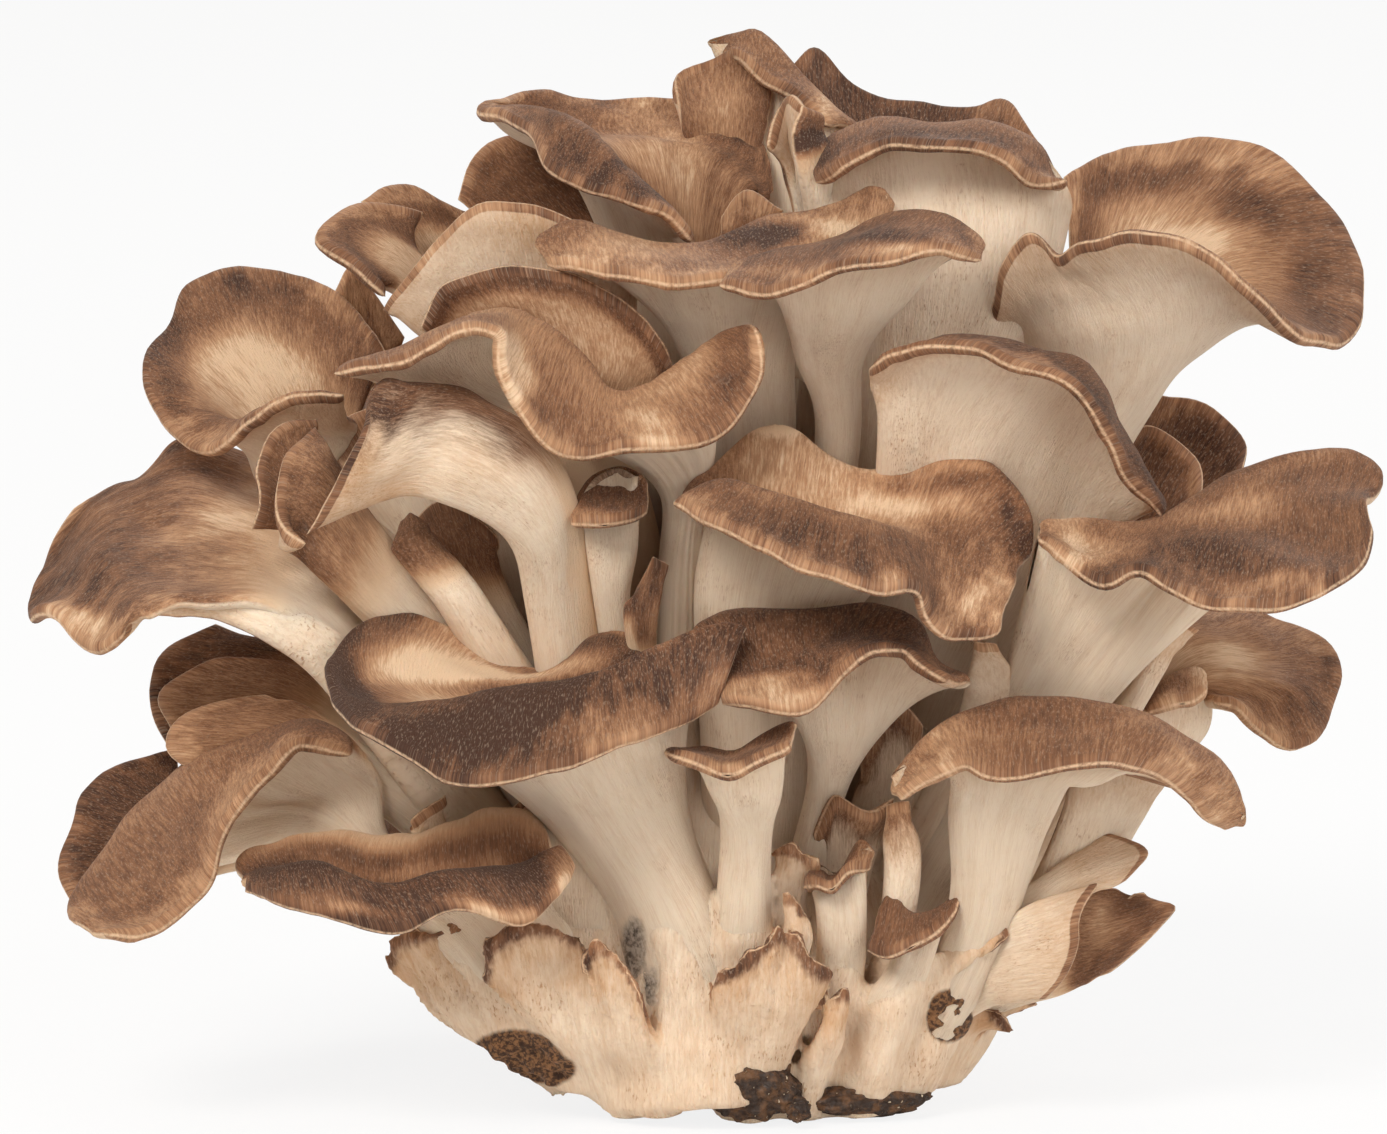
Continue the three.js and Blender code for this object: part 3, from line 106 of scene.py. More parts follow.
lobes = [
  {"node": "wing_left", "stout": 11, "rows": [
    [[8, -22, 3], [1, -22, 3], [-2, -33, 3], [4, -38, 3], [10, -34, 3]],
    [[6, -28, 27], [-3, -30, 27], [-6, -36, 27], [0, -41, 26], [6, -38, 26]],
    [[-2, -34, 47], [-10, -32, 46], [-17.5, -36, 46], [-15, -42, 45], [-8, -44, 45], [-1, -41, 46]],
    [[-8, -40, 60], [-16, -40, 59], [-24, -42, 58], [-31, -44, 58.5], [-35, -48, 58.5], [-32, -51, 58],
      [-25, -53, 58], [-17, -53, 59], [-10, -52, 61], [-1, -48, 63]],
    [[-8, -44, 67], [-17, -45, 65], [-24, -45, 64], [-33, -45, 64], [-40, -46, 64.5], [-46, -48, 65.5],
      [-49, -52, 64.3], [-46, -56, 63.2], [-40, -57, 63.2], [-33, -57, 63.5], [-24, -57, 64.7],
      [-15, -56, 66.8], [-6, -55, 70.8], [8, -51, 74.6]],
    [[-7.5, -40, 71.5], [-12, -36, 72.6], [-15.5, -34, 71.4], [-20, -31, 68.4], [-25, -30, 68.4],
      [-31, -30, 71.5], [-38, -31, 74.5], [-45, -33, 74.8], [-51, -38, 72.3], [-54.3, -47, 67.5],
      [-53, -56, 63.2], [-49.5, -63, 59.2], [-44, -67, 55.4], [-38, -70, 51.6], [-32, -71, 49.8],
      [-24, -71, 52.4], [-15, -69, 54.4], [-7, -66, 57.2], [-1, -62, 59.3], [4.2, -59, 62.2]],
  ]},
  {"node": "wing_left", "stout": 6, "under": -1, "rows": [
    [[-8, -28, 44], [-3, -28, 44]],
    [[-9, -38, 64], [-5, -38, 64]],
    [[-10.3, -44, 74], [-5, -43, 73]],
    [[-9.4, -44, 79], [-6, -46, 82.6], [-2.2, -44, 81.3]],
  ]},
  {"node": "saddle_front", "stout": 9, "rows": [
    [[3, -36, 6], [11, -34, 6]],
    [[3, -42, 26], [11.5, -41, 26]],
    [[4, -47, 43], [11.5, -45, 43]],
    [[1.5, -51, 51], [7, -51, 50.5], [12.5, -48, 50]],
    [[-4.2, -52, 55.5], [1, -50, 55.8], [6, -49, 55], [10.5, -48, 57.5], [15, -49, 58.5]],
    [[-3, -60, 54.5], [1, -63, 52.2], [5, -65, 51.3], [9, -63, 53.6], [14, -58, 57]],
  ]},
  {"node": "wing_right", "stout": 8, "rows": [
    [[12, -26, 6], [19, -24, 6]],
    [[14, -32, 34], [20, -30, 34]],
    [[17, -34, 50], [23, -32, 50]],
    [[14, -36, 61], [22, -36, 60], [31, -34, 62]],
    [[0, -42, 71.8], [5, -38, 74.3], [12, -36, 75.5], [19, -36, 75.4], [27, -36, 75.2], [33, -38, 73],
      [36, -40, 68], [41, -42, 66.5]],
    [[2.5, -48, 69.5], [6, -49, 70], [12, -50, 69.8], [19, -50, 70.6], [25, -48, 73], [32, -46, 71.8],
      [36, -46, 67], [40, -45, 65.8]],
    [[4, -57, 61.9], [7, -60, 61.6], [12, -61, 61.2], [18, -60, 62.2], [22.5, -57, 66.5],
      [26, -55, 70.6], [31, -52, 71.6], [34.5, -50, 68.2], [38.5, -48, 65.2]],
  ]},
  {"node": "hood_right", "stout": 10, "rows": [
    [[24, -28, 6], [33, -26, 6]],
    [[37, -37, 28], [46.5, -35, 28]],
    [[37.5, -43, 45], [53, -41, 45]],
    [[37, -46, 52], [48, -44, 52], [59, -42, 52]],
    [[28.3, -48, 50.4], [32, -45, 54.6], [38, -43, 59.2], [45, -41, 62.8], [53, -40, 63.2],
      [61, -39, 62], [69, -38, 59.2], [75.5, -38, 55], [79.6, -40, 48.8], [81, -42, 45]],
    [[29.2, -52, 48.4], [34, -55, 51.4], [39.5, -58, 54.8], [44.5, -60, 52.2], [52, -61, 53.3],
      [60, -60, 55], [67, -56, 53.4], [72, -51, 49.4], [75.6, -47, 44.6], [78.6, -44, 42.6]],
  ]},
  {"node": "hood_right", "stout": 8, "rows": [
    [[30, -22, 8], [38, -18, 10]],
    [[46, -30, 28], [56, -25, 28]],
    [[54, -34, 46], [67, -30, 46]],
    [[56, -38, 57], [72, -35, 53]],
  ]},
  {"node": "cap_low_left", "stout": 9, "rows": [
    [[-20, -30, 8], [-8, -32, 8]],
    [[-34, -38, 22], [-15, -39, 24]],
    [[-46, -37, 30], [-19, -37, 33]],
    [[-66.5, -43, 38.5], [-60, -41, 40.2], [-54, -39, 41.8], [-46, -38, 40.9], [-40, -38, 41.6],
      [-33, -38, 43.8], [-28, -38, 45.4], [-21, -40, 42.5]],
    [[-66, -48, 37.4], [-59, -48, 37.4], [-52, -48, 36.4], [-44, -48, 34.4], [-36, -48, 35.2],
      [-28, -47, 36.6], [-20.5, -46, 39.4]],
    [[-66.2, -51, 37.8], [-60, -55, 37.6], [-54, -57, 38.2], [-47, -57, 35.7], [-38, -57, 36.9],
      [-30, -56, 37.7], [-24, -54, 38.3], [-19.5, -49, 41.6]],
    [[-66.2, -54, 35.5], [-60, -60, 32.8], [-51, -62, 31], [-43, -62, 29.6], [-34, -62, 31.2],
      [-25, -61, 29.8], [-20, -57, 32.5], [-17.2, -51, 38.3]],
  ]},
  {"node": "hood_left", "stout": 9, "rows": [
    [[-22, -18, 14], [-12, -18, 12]],
    [[-52, -31, 40], [-42.5, -29, 38]],
    [[-72, -29, 37], [-67, -26, 43], [-60, -26, 47], [-52, -28, 49], [-46, -30, 50]],
    [[-91.5, -36, 32.5], [-88, -32, 38.5], [-82.5, -28, 46.5], [-75, -27, 52.6], [-66, -28, 56],
      [-58, -31, 58.5], [-50, -34, 55.5]],
    [[-91, -45, 29.5], [-84.5, -45, 32], [-78, -44, 41], [-72.5, -42, 48], [-65.5, -40, 53.5],
      [-58, -38, 58], [-50, -37, 55]],
    [[-86, -51, 28.3], [-79, -53, 28.6], [-73, -53, 34.5], [-70, -51, 41.5], [-65, -48, 48.8],
      [-59, -44, 56.5], [-50.5, -40, 54.5]],
  ]},
  {"node": "hood_centre", "stout": 12, "rows": [
    [[2, -14, 20], [16, -14, 20]],
    [[2, -22, 50], [20, -22, 50]],
    [[0, -30, 75], [24, -30, 75]],
    [[1, -28, 90], [10, -26, 92], [20, -26, 90], [32, -27, 88.5], [40, -30, 85]],
    [[-1.5, -36, 94], [3, -32, 95.5], [7, -30, 100], [11, -29, 101.4], [15, -29, 101.3],
      [18, -29, 98.5], [22, -29, 95.7], [28, -29, 95.2], [34, -29, 96.8], [40, -29, 97.2],
      [45, -30, 95.3], [49, -33, 90.5], [50.8, -37, 85]],
    [[-2, -41, 93.5], [4, -41, 93], [9, -40, 92.2], [14, -40, 91], [19, -40, 88.6], [25, -40, 87.8],
      [31, -39, 88.5], [37, -39, 89], [43, -39, 87.2], [48.5, -41, 82.5]],
    [[-2.5, -47, 93.6], [4, -49, 95], [9, -49, 93.4], [14, -49, 91.8], [19, -49, 90.6], [24, -50, 89],
      [28, -50, 87.2], [32, -50, 84.5], [36, -49, 81], [41, -48, 80], [47.5, -47, 78.5]],
    [[-2.7, -54, 92.2], [1, -59, 88.8], [7, -62, 86.3], [13, -63, 84.2], [20, -64, 80.2], [27, -63, 78],
      [33, -61, 78.7], [35.5, -59, 75.8], [39, -57, 72.6], [45.5, -53, 74.4]],
  ]},
  {"node": "club_centre", "stout": 7, "rows": [
    [[-8, -20, 38], [-2, -20, 38]],
    [[-14, -33, 72], [-9, -33, 72]],
    [[-16, -36, 84.5], [-8, -36, 85]],
    [[-18.6, -35, 91.5], [-15.5, -33, 95.8], [-10.5, -32, 97.4], [-6.4, -35, 96]],
    [[-18.4, -43, 89], [-15, -45, 88.2], [-11, -45, 88.6], [-6.6, -42, 91]],
  ]},
  {"node": "arch_left", "stout": 10, "rows": [
    [[-10, -16, 24], [-2, -16, 24]],
    [[-20, -28, 52], [-11, -28, 54]],
    [[-24.5, -34, 74], [-14.5, -33, 76]],
    [[-26.5, -40, 84], [-17, -36, 90]],
    [[-33, -42, 89.8], [-27, -43, 95], [-23, -36, 99]],
    [[-42, -44, 92.4], [-38, -45, 100], [-34, -36, 106.8]],
    [[-50, -46, 90.3], [-47, -48, 98], [-43, -42, 108.8]],
    [[-57.3, -46, 86], [-52.5, -49, 95.5], [-48, -47, 101], [-45, -43, 106.5]],
  ]},
  {"node": "tuck_left", "stout": 9, "under": -1, "rows": [
    [[-14, -12, 28], [-12, -14, 36]],
    [[-36, -24, 60], [-31, -24, 69]],
    [[-50, -33, 75], [-44, -32, 85.5]],
    [[-58, -38, 82.5], [-54, -41, 91], [-52, -38, 98]],
    [[-56, -43, 86.3], [-61, -43, 92], [-60.3, -40, 98], [-55.5, -36, 103.2]],
  ]},
  {"node": "tuck_left", "stout": 6, "under": -1, "rows": [
    [[-14, -8, 34], [-12, -10, 42]],
    [[-42, -20, 72], [-38, -20, 80]],
    [[-56, -30, 86], [-54, -30, 95]],
    [[-65, -34, 86], [-62.8, -36, 93], [-63.6, -34, 98], [-60.5, -31, 103.4], [-56, -29, 103.6]],
  ]},
  {"node": "clubs_left", "stout": 7, "under": -1, "rows": [
    [[-18, -18, 44], [-12, -18, 46]],
    [[-35.5, -32, 72], [-28.5, -32, 74]],
    [[-40.5, -35, 79], [-33.5, -34, 81.5]],
    [[-45, -36, 84], [-40.5, -37, 85.5], [-37, -34, 86]],
    [[-43.5, -35, 88.5], [-41.5, -34.5, 90.3], [-39, -33, 88.5]],
  ]},
  {"node": "clubs_left", "stout": 6, "under": -1, "rows": [
    [[-20, -14, 48], [-12, -14, 50]],
    [[-36, -25, 76], [-27, -24, 78]],
    [[-41.5, -29, 88], [-37, -29, 91.3], [-28.5, -28, 85.5]],
  ]},
  {"node": "clubs_left", "stout": 8, "rows": [
    [[-20, -2, 44], [-8, -2, 44]],
    [[-38, -10, 72], [-20, -11, 76]],
    [[-61, -12, 96], [-52, -13, 104], [-43, -13, 106], [-30, -14, 105], [-18, -14, 98]],
  ]},
  {"node": "saddle_high", "stout": 8, "rows": [
    [[-6, -12, 40], [2, -12, 40]],
    [[-5, -27, 80], [1, -27, 80]],
    [[-8, -31, 96], [3, -30, 96]],
    [[-40, -28, 107], [-28, -29, 109], [-17, -30, 104], [-6, -30, 102], [4, -29, 106]],
    [[-51, -37, 111.5], [-45, -35, 114], [-38, -34, 117.4], [-32, -33, 119.3], [-27, -33, 119.2],
      [-23.5, -33, 118], [-20, -33, 116], [-16, -33, 113], [-12, -33, 108], [-7, -33, 109],
      [-2, -33, 112], [2.5, -33, 115.5], [5.5, -34, 117.8]],
    [[-53.3, -45, 110.5], [-46, -47, 112.3], [-39, -48, 115.2], [-32, -49, 117.8], [-27.5, -50, 115.6],
      [-28.3, -51, 111], [-23.5, -51, 104.5], [-18.5, -51, 99.2], [-12, -50, 100.4], [-2, -50, 100.1],
      [5, -48, 102.5], [9.8, -45, 109.5], [7.5, -41, 116.5]],
  ]},
  {"node": "shell_right", "stout": 8, "rows": [
    [[16, -6, 26], [28, -4, 26]],
    [[22, -14.6, 60], [42.5, -10.4, 60]],
    [[26, -23, 85], [58, -15.5, 80]],
    [[27, -32, 102], [40, -30, 102], [54, -24, 98], [64, -20, 88]],
    [[26, -37, 108.5], [32, -37, 112.6], [42, -37, 114.8], [51, -35, 114.6], [57, -33, 112.7],
      [60, -31, 109], [63, -29, 103.3], [68, -27, 97.5], [71.2, -26, 91]],
    [[26.2, -40, 111.5], [29, -43, 113.6], [34, -45, 115.6], [40, -46, 115.2], [46, -46, 112.8],
      [52, -46, 109.7], [57, -45, 106], [61, -42, 101.3], [64, -39, 96.3], [70.3, -33, 89.3]],
  ]},
  {"node": "cap_right", "stout": 10, "rows": [
    [[22, -10, 20], [32, -8, 20]],
    [[40, -24, 52], [54, -22, 50]],
    [[46, -28, 66], [66, -26, 66]],
    [[50.5, -36, 87.3], [57, -32, 88.2], [64, -30, 87.3], [71, -29, 88.6], [77, -27, 93.4],
      [83, -25, 96.8], [90, -25, 98.2], [96, -26, 97.8], [100.4, -30, 94.2]],
    [[51, -42, 87.2], [58, -42, 85.4], [65, -41, 85.4], [72, -40, 86.8], [80, -40, 88.4], [88, -39, 90],
      [95, -38, 91.4], [100, -39, 92.4]],
    [[51.2, -46, 86.6], [55, -49, 84], [60, -52, 80.4], [65, -54, 81.9], [70, -56, 79.8],
      [75, -58, 76.4], [82, -59, 76.6], [90, -57, 77.2], [96, -53, 81.3], [99.4, -46, 88]],
  ]},
  {"node": "crown_twin", "stout": 8, "rows": [
    [[6, -10, 40], [14, -10, 40]],
    [[18, -20, 96], [24.2, -20, 96]],
    [[15, -27, 113], [25.5, -27, 113]],
    [[13, -31, 120.5], [22, -32, 121.5], [33, -31, 123.5]],
    [[6, -35, 126.2], [13, -32, 129.5], [21, -31, 132], [29, -31, 134.8], [35, -32, 134.4],
      [39, -34, 132.5], [42.4, -38, 128.9]],
    [[3.7, -45, 124], [9, -48, 122.8], [15, -50, 124.2], [21, -51, 126.4], [29, -50, 127.5],
      [37, -48, 128.6], [43, -44, 126.9]],
  ]},
  {"node": "crown_left", "stout": 8, "rows": [
    [[-4, -4, 40], [8, -4, 40]],
    [[0, -14, 95], [15, -14, 95]],
    [[-3, -21, 116], [6, -22, 116], [16, -21, 117]],
    [[-22.3, -28, 129.3], [-17, -24, 132.4], [-10, -23, 130.8], [-3, -23, 129.9], [3, -23, 130.6],
      [10, -22, 133], [18, -22, 134.6], [23, -22, 136.7], [26, -23, 138], [29, -25, 136.6]],
    [[-22, -34, 127], [-17, -38, 126], [-9, -40, 124.8], [-1, -41, 124.4], [6, -40, 125.2],
      [12, -38, 127.3], [18, -34, 128.8], [23, -31, 130], [26, -30, 131], [29, -29, 132]],
  ]},
  {"node": "crown_left", "stout": 5, "under": -1, "rows": [
    [[2, -6, 100], [9, -6, 100]],
    [[4, -10, 125], [11, -10, 125]],
    [[4.3, -11, 134], [8, -11, 137.6], [13.3, -12, 134.5]],
  ]},
  {"node": "fan_arched", "stout": 7, "rows": [
    [[-12, -8, 40], [-2, -10, 40]],
    [[-18, -16, 80], [-4, -18, 80]],
    [[-26, -22, 100], [-8, -24, 100]],
    [[-36, -26, 113], [-24, -27, 115], [-12, -27, 113], [-5, -26, 108]],
    [[-41, -30, 117.5], [-36, -31, 124.5], [-26, -32, 127.2], [-16, -32, 125], [-7, -31, 119],
      [-2.2, -29, 112]],
  ]},
  {"node": "fan_upright", "stout": 7, "rows": [
    [[-14, -2, 40], [-2, -4, 40]],
    [[-20, -6, 85], [-4, -8, 85]],
    [[-30, -12, 108], [-8, -14, 108]],
    [[-42, -17, 117], [-32, -18, 122], [-20, -18, 122], [-8, -18, 122]],
    [[-46, -16, 120], [-43, -18, 125], [-37, -20, 132], [-30, -22, 136.7], [-21, -22, 135.2],
      [-12, -22, 132], [-6, -20, 129]],
  ]},
  {"node": "funnel_left", "stout": 8, "rows": [
    [[-16, -2, 28], [-20, -8, 28]],
    [[-40, -4, 62], [-44, -10, 60]],
    [[-55, -5, 92], [-60, -9, 91], [-55, -12, 89]],
    [[-50, -6, 104], [-55, -6, 105.5], [-61, -7, 105], [-65, -9, 102], [-63, -13, 100], [-57, -14, 101],
      [-50, -13, 102]],
    [[-48, -5, 109], [-52, -4, 112.5], [-58, -3, 115.5], [-65, -3, 116.5], [-71, -4, 115],
      [-75, -8, 111], [-74, -12, 106.5], [-70, -15, 103.8], [-65, -18, 104], [-59, -20, 105.5],
      [-51, -20, 105.5]],
    [[-45.5, -6, 113], [-49.5, -3, 119.5], [-54, 0, 124], [-61, 2, 126.5], [-69, 2, 127.7],
      [-76, 0, 124.5], [-78.3, -2, 119.5], [-82, -6, 114.5], [-82, -11, 107.5], [-78, -16, 102.5],
      [-73, -19, 99.6], [-68, -24, 102.5], [-61, -27, 108], [-52, -26, 109]],
  ]},
  {"node": "funnel_left", "stout": 6, "under": -1, "rows": [
    [[-16, 4, 50], [-12, 6, 52]],
    [[-40, -1, 98], [-36, 1, 102]],
    [[-50, 0, 112], [-44, 2, 112]],
    [[-53.5, 0, 123], [-51, 1, 127], [-46, 2, 121], [-43, 2, 116]],
  ]},
  {"node": "drape_left", "stout": 7, "under": -1, "rows": [
    [[-14, -12, 24], [-16, -2, 27]],
    [[-36, -24, 49], [-38, -6, 55]],
    [[-54, -37, 68.5], [-52, -26, 72], [-50, -8, 80]],
    [[-62, -43, 76.3], [-62, -30, 79], [-60, -14, 86], [-58, 0, 94.5]],
    [[-72, -46, 77.8], [-73, -35, 80], [-74, -18, 86.5], [-74, -6, 94], [-74, 1, 101.5]],
    [[-81, -45, 76], [-84, -34, 79.5], [-86, -22, 85.5], [-86, -12, 91.5], [-84, -4, 96.7]],
    [[-84, -44, 73], [-89, -42, 69.8], [-95, -36, 75.3], [-99.3, -28, 74.8], [-97.8, -20, 81],
      [-92, -12, 91]],
  ]},
  {"node": "drape_left", "stout": 9, "rows": [
    [[-16, -14, 20], [-14, -6, 26]],
    [[-38, -28, 45], [-36, -16, 54]],
    [[-54, -37, 63.5], [-52, -33, 71]],
    [[-63, -40, 70], [-62, -38, 76]],
    [[-73, -41, 74], [-72, -39, 77]],
    [[-82, -40, 75], [-81, -38, 77.5]],
  ]},
  {"node": "lip_right_top", "stout": 9, "rows": [
    [[10, 0, 40], [24, 4, 40]],
    [[17, -6, 80], [36, -4, 80]],
    [[19, -12, 102], [44, -8, 100]],
    [[19, -16, 125], [30, -18, 125], [44, -16, 125], [54, -12, 126]],
    [[17.3, -13, 142], [21, -13, 145], [27, -14, 147.2], [33, -15, 147.5], [40, -15, 147.2],
      [46, -14, 146.4], [52, -12, 145], [56, -10, 138]],
    [[17, -22, 139.8], [20, -27, 141.3], [25, -28, 144.2], [30, -28, 145.9], [36, -28, 144.5],
      [43, -27, 142], [50, -25, 139.2], [55, -19, 141]],
  ]},
  {"node": "lip_right_top", "stout": 6, "under": -1, "rows": [
    [[18, -10, 110], [22, -10, 110]],
    [[17, -14, 130], [21, -14, 130]],
    [[16, -21, 141], [21, -17, 143.5]],
    [[16.3, -21, 146], [20.5, -16, 146.8]],
    [[17, -19, 150.8], [19.8, -15, 149.6]],
  ]},
  {"node": "lip_right_top", "stout": 6, "rows": [
    [[12, 2, 60], [16, 2, 60]],
    [[16, -4, 110], [20, -4, 110]],
    [[15.5, -8, 130], [18.5, -8, 130]],
    [[12.4, -12, 141], [14.8, -9, 142], [17.4, -12, 142]],
    [[10.2, -15, 144.6], [11.6, -12, 149], [14.6, -12, 152.5], [17.6, -15, 150.8]],
  ]},
  {"node": "funnel_right", "stout": 9, "rows": [
    [[32, -2, 38], [40, 2, 38]],
    [[44, -4, 70], [53, 1, 72]],
    [[52, -5, 92], [58, -9, 93], [63, -2, 95]],
    [[53, -8, 106], [58, -11, 107], [64, -11, 108], [67.5, -7, 109.5], [68, -1, 111], [65, 4, 112],
      [60, 5, 112], [56, 2, 111]],
    [[48, -12, 115], [53, -16, 118], [58, -19, 119.5], [65, -19, 120], [72, -17, 119.5],
      [78, -12, 118.8], [82, -5, 119.5], [84, 1, 122], [82, 7, 126], [76, 10, 129.5], [69, 10, 130],
      [62, 9, 129], [57, 6, 127]],
    [[44.4, -15, 118], [44.4, -20, 123], [47, -24, 129.5], [51, -26, 132.2], [54.4, -24, 128.6],
      [57, -28, 131], [63, -31, 133], [70, -31, 132.4], [78, -29, 128.6], [85, -24, 123],
      [90, -19, 118.6], [94, -14, 115.6], [98, -9, 116.8], [100.6, -3, 121.5], [100.2, 3, 129],
      [96.5, 9, 136.8], [89, 14, 143.2], [80, 17, 146.6], [70, 18, 146.9], [62, 15, 144.5],
      [56, 10, 140.5]],
  ]},
  {"node": "tongue_top", "stout": 8, "under": -1, "rows": [
    [[0, 12, 58], [8, 12, 58]],
    [[-1, 11, 110], [9, 11, 110]],
    [[-1, 10, 140], [10, 9, 142]],
    [[-2.4, 10, 152.5], [-2, 11, 156], [3, 11, 158.6], [6.5, 11, 160.2], [9.8, 10, 157.5],
      [11.5, 9, 153]],
  ]},
  {"node": "tongue_top", "stout": 8, "rows": [
    [[4, 14, 58], [12, 14, 58]],
    [[8, 15, 110], [16, 15, 110]],
    [[10, 15, 140], [22, 12, 138]],
    [[2, 16, 160.9], [7, 16, 161.9], [10.5, 15, 162.4], [15, 13, 158.3], [20, 11, 152.6], [26, 9, 146.6]],
    [[3, 12, 160.2], [6.5, 9, 160.4], [9.5, 7, 158.2], [13, 6, 155.2], [16.5, 5, 151.6], [21, 4, 148]],
  ]},
  {"node": "bowl_top", "stout": 8, "under": -1, "rows": [
    [[2, -2, 58], [-4, 2, 58], [2, 6, 58]],
    [[0, -6, 110], [-6, 0, 110], [2, 6, 110]],
    [[0, -12, 130], [-6, -11, 133], [-11, -9, 137], [-14, -4, 140], [-12, 2, 141], [-6, 5, 141],
      [2, 6, 139], [8, 4, 136]],
    [[-0.5, -18, 132], [-6, -20, 138], [-12, -20, 143.5], [-18, -18, 148.5], [-22, -12, 151],
      [-28, -2, 149.5], [-25, 6, 149], [-17, 9, 148], [-8, 10, 147.5], [2, 10, 146], [9, 8, 143],
      [11.5, 4, 138]],
    [[0.8, -22, 130.3], [-6, -26, 135.8], [-15, -27, 138], [-22, -26, 142], [-25, -18, 148.5],
      [-32.5, -4, 150.5], [-27, 8, 153], [-18, 14, 153], [-8, 16, 153.5], [2, 16, 152], [10, 12, 147],
      [13, 6, 139.5]],
  ]},
  {"node": "cap_far_right", "stout": 9, "rows": [
    [[34, 2, 14], [27, 0, 22]],
    [[56, -2, 37], [48, -5, 43]],
    [[68, -8, 52], [60, -10, 58]],
    [[74, -13, 61.5], [75, -13, 65], [73, -11, 69], [68, -9, 70]],
    [[77, -16, 62.6], [83, -17, 62], [88, -16, 64], [88, -12, 68], [83, -8, 71.5], [77, -5, 73],
      [72, -5, 73.4]],
    [[77, -18, 62], [82, -20, 60.4], [86, -20, 57], [90, -19, 54.8], [94.4, -16, 57], [96.4, -12, 62.5],
      [97.2, -9, 67.5], [94.5, -6, 72], [89, -3, 73.4], [84, -1, 75.6], [79.5, 0, 75], [75, 0, 76.2],
      [71, -2, 74.5]],
  ]},
  {"node": "cap_far_right", "stout": 5, "rows": [
    [[46, -8, 38], [52, -8, 36]],
    [[58, -18, 54], [62, -17, 52]],
    [[64, -22, 63], [67.5, -21, 62]],
    [[68, -22, 70], [71, -21, 68]],
    [[72.5, -20, 74], [75.5, -20, 72]],
  ]},
  {"node": "cap_far_right", "stout": 6, "rows": [
    [[44, -6, 32], [52, -4, 32]],
    [[60, -14, 50], [70, -10, 50]],
    [[66, -16, 58], [77, -12, 58]],
    [[66.5, -16, 61.5], [70, -15, 64.8], [74, -14, 65.6], [77, -14, 64.6]],
    [[67, -22, 60.3], [71, -24, 61.4], [74, -23, 62.4], [76.6, -20, 63.8]],
  ]},
  {"node": "shelf_right", "stout": 8, "under": -1, "rows": [
    [[30, -26, 6], [26, -24, 14]],
    [[42, -31, 17], [37, -29, 25]],
    [[50, -35, 25], [47, -32, 32.5]],
    [[58, -37, 31.5], [55, -34, 38]],
    [[64, -36, 35.5], [67.5, -35, 39.5], [61, -32, 42.2]],
  ]},
  {"node": "leaf_right", "stout": 7, "rows": [
    [[26, -20, 4], [26, -20, 13]],
    [[45, -25, 15], [44, -27, 25]],
    [[54, -30, 18], [54, -31, 26], [55, -31, 33]],
    [[58, -32, 20], [60, -33, 27], [61, -33, 34.6]],
    [[61.5, -33, 22], [67, -34, 26.6], [71.8, -34, 31.4], [69.5, -33, 32.6], [65.5, -33, 33.2]],
  ]},
  {"node": "leaf_right", "stout": 7, "under": -1, "rows": [
    [[26, -25, 4], [26, -25, 13]],
    [[42, -32, 15.5], [41, -32, 25]],
    [[48, -37, 17.2], [49, -38, 24], [50, -38, 32]],
    [[52.3, -38, 17.8], [55.7, -39, 21.8], [57.2, -40, 26.4], [57.8, -40, 30.8], [60.2, -38, 35.4]],
  ]},
  {"node": "fans_left", "stout": 7, "under": -1, "rows": [
    [[-22, -18, 24], [-18, -16, 30]],
    [[-54, -28, 50], [-52, -27, 58]],
    [[-72, -32, 50.5], [-77.5, -32, 54], [-77, -31, 58.5], [-72, -30, 61.5], [-63, -29, 63]],
  ]},
  {"node": "fans_left", "stout": 7, "under": -1, "rows": [
    [[-22, -15, 27], [-18, -12, 32]],
    [[-54, -22, 56], [-52, -20, 63]],
    [[-77, -25, 57], [-79, -24, 63], [-73, -23, 67.8], [-64, -22, 68.2], [-57, -20, 66.5]],
  ]},
  {"node": "fan_left_dark", "stout": 6, "under": -1, "rows": [
    [[-22, -8, 30], [-18, -4, 34]],
    [[-56, -12, 58], [-54, -8, 66]],
    [[-78, -14, 54], [-81.3, -12, 62], [-79, -10, 69.5], [-71.5, -8, 73.8]],
  ]},
  {"node": "fan_low_left", "stout": 7, "under": -1, "rows": [
    [[-22, -10, 18], [-16, -6, 20]],
    [[-58, -20, 36], [-54, -16, 46]],
    [[-78, -25, 34], [-74, -19, 50]],
    [[-90, -28, 29], [-94.3, -25, 36], [-92.5, -22, 43.5], [-90, -20, 49], [-85, -18, 53],
      [-77, -16, 55]],
  ]},
  {"node": "lobe_centre_left", "stout": 8, "rows": [
    [[-14, -30, 8], [-6, -30, 8]],
    [[-21, -37, 28], [-11, -38, 27]],
    [[-26, -34, 42], [-17, -34, 42], [-8, -34, 36]],
    [[-27, -34, 46], [-22, -34, 48.3], [-15, -33, 44], [-8, -33, 37]],
  ]},
  {"node": "stub_left", "stout": 6, "rows": [
    [[-20, -20, 20], [-14, -20, 22]],
    [[-40, -31, 40], [-35, -30, 42]],
    [[-42.3, -33, 44], [-37, -32, 48.5]],
  ]},
  {"node": "cup_small", "stout": 7, "rows": [
    [[16, -24, 6], [23, -22, 6]],
    [[18, -32, 36], [26, -30, 36]],
    [[17.8, -36, 42], [20.8, -37, 49], [25.5, -37, 46], [29.5, -35, 48.2]],
  ]},
  {"node": "finger_right", "stout": 6.5, "rows": [
    [[22, -26, 6], [28, -24, 6]],
    [[27, -36, 26], [32, -35, 26]],
    [[28, -39, 38], [33.6, -38, 38]],
    [[28, -39, 46.3], [32, -39, 47]],
  ]},
  {"node": "cap_tucked", "stout": 7, "rows": [
    [[16, -8, 18], [26, -6, 18]],
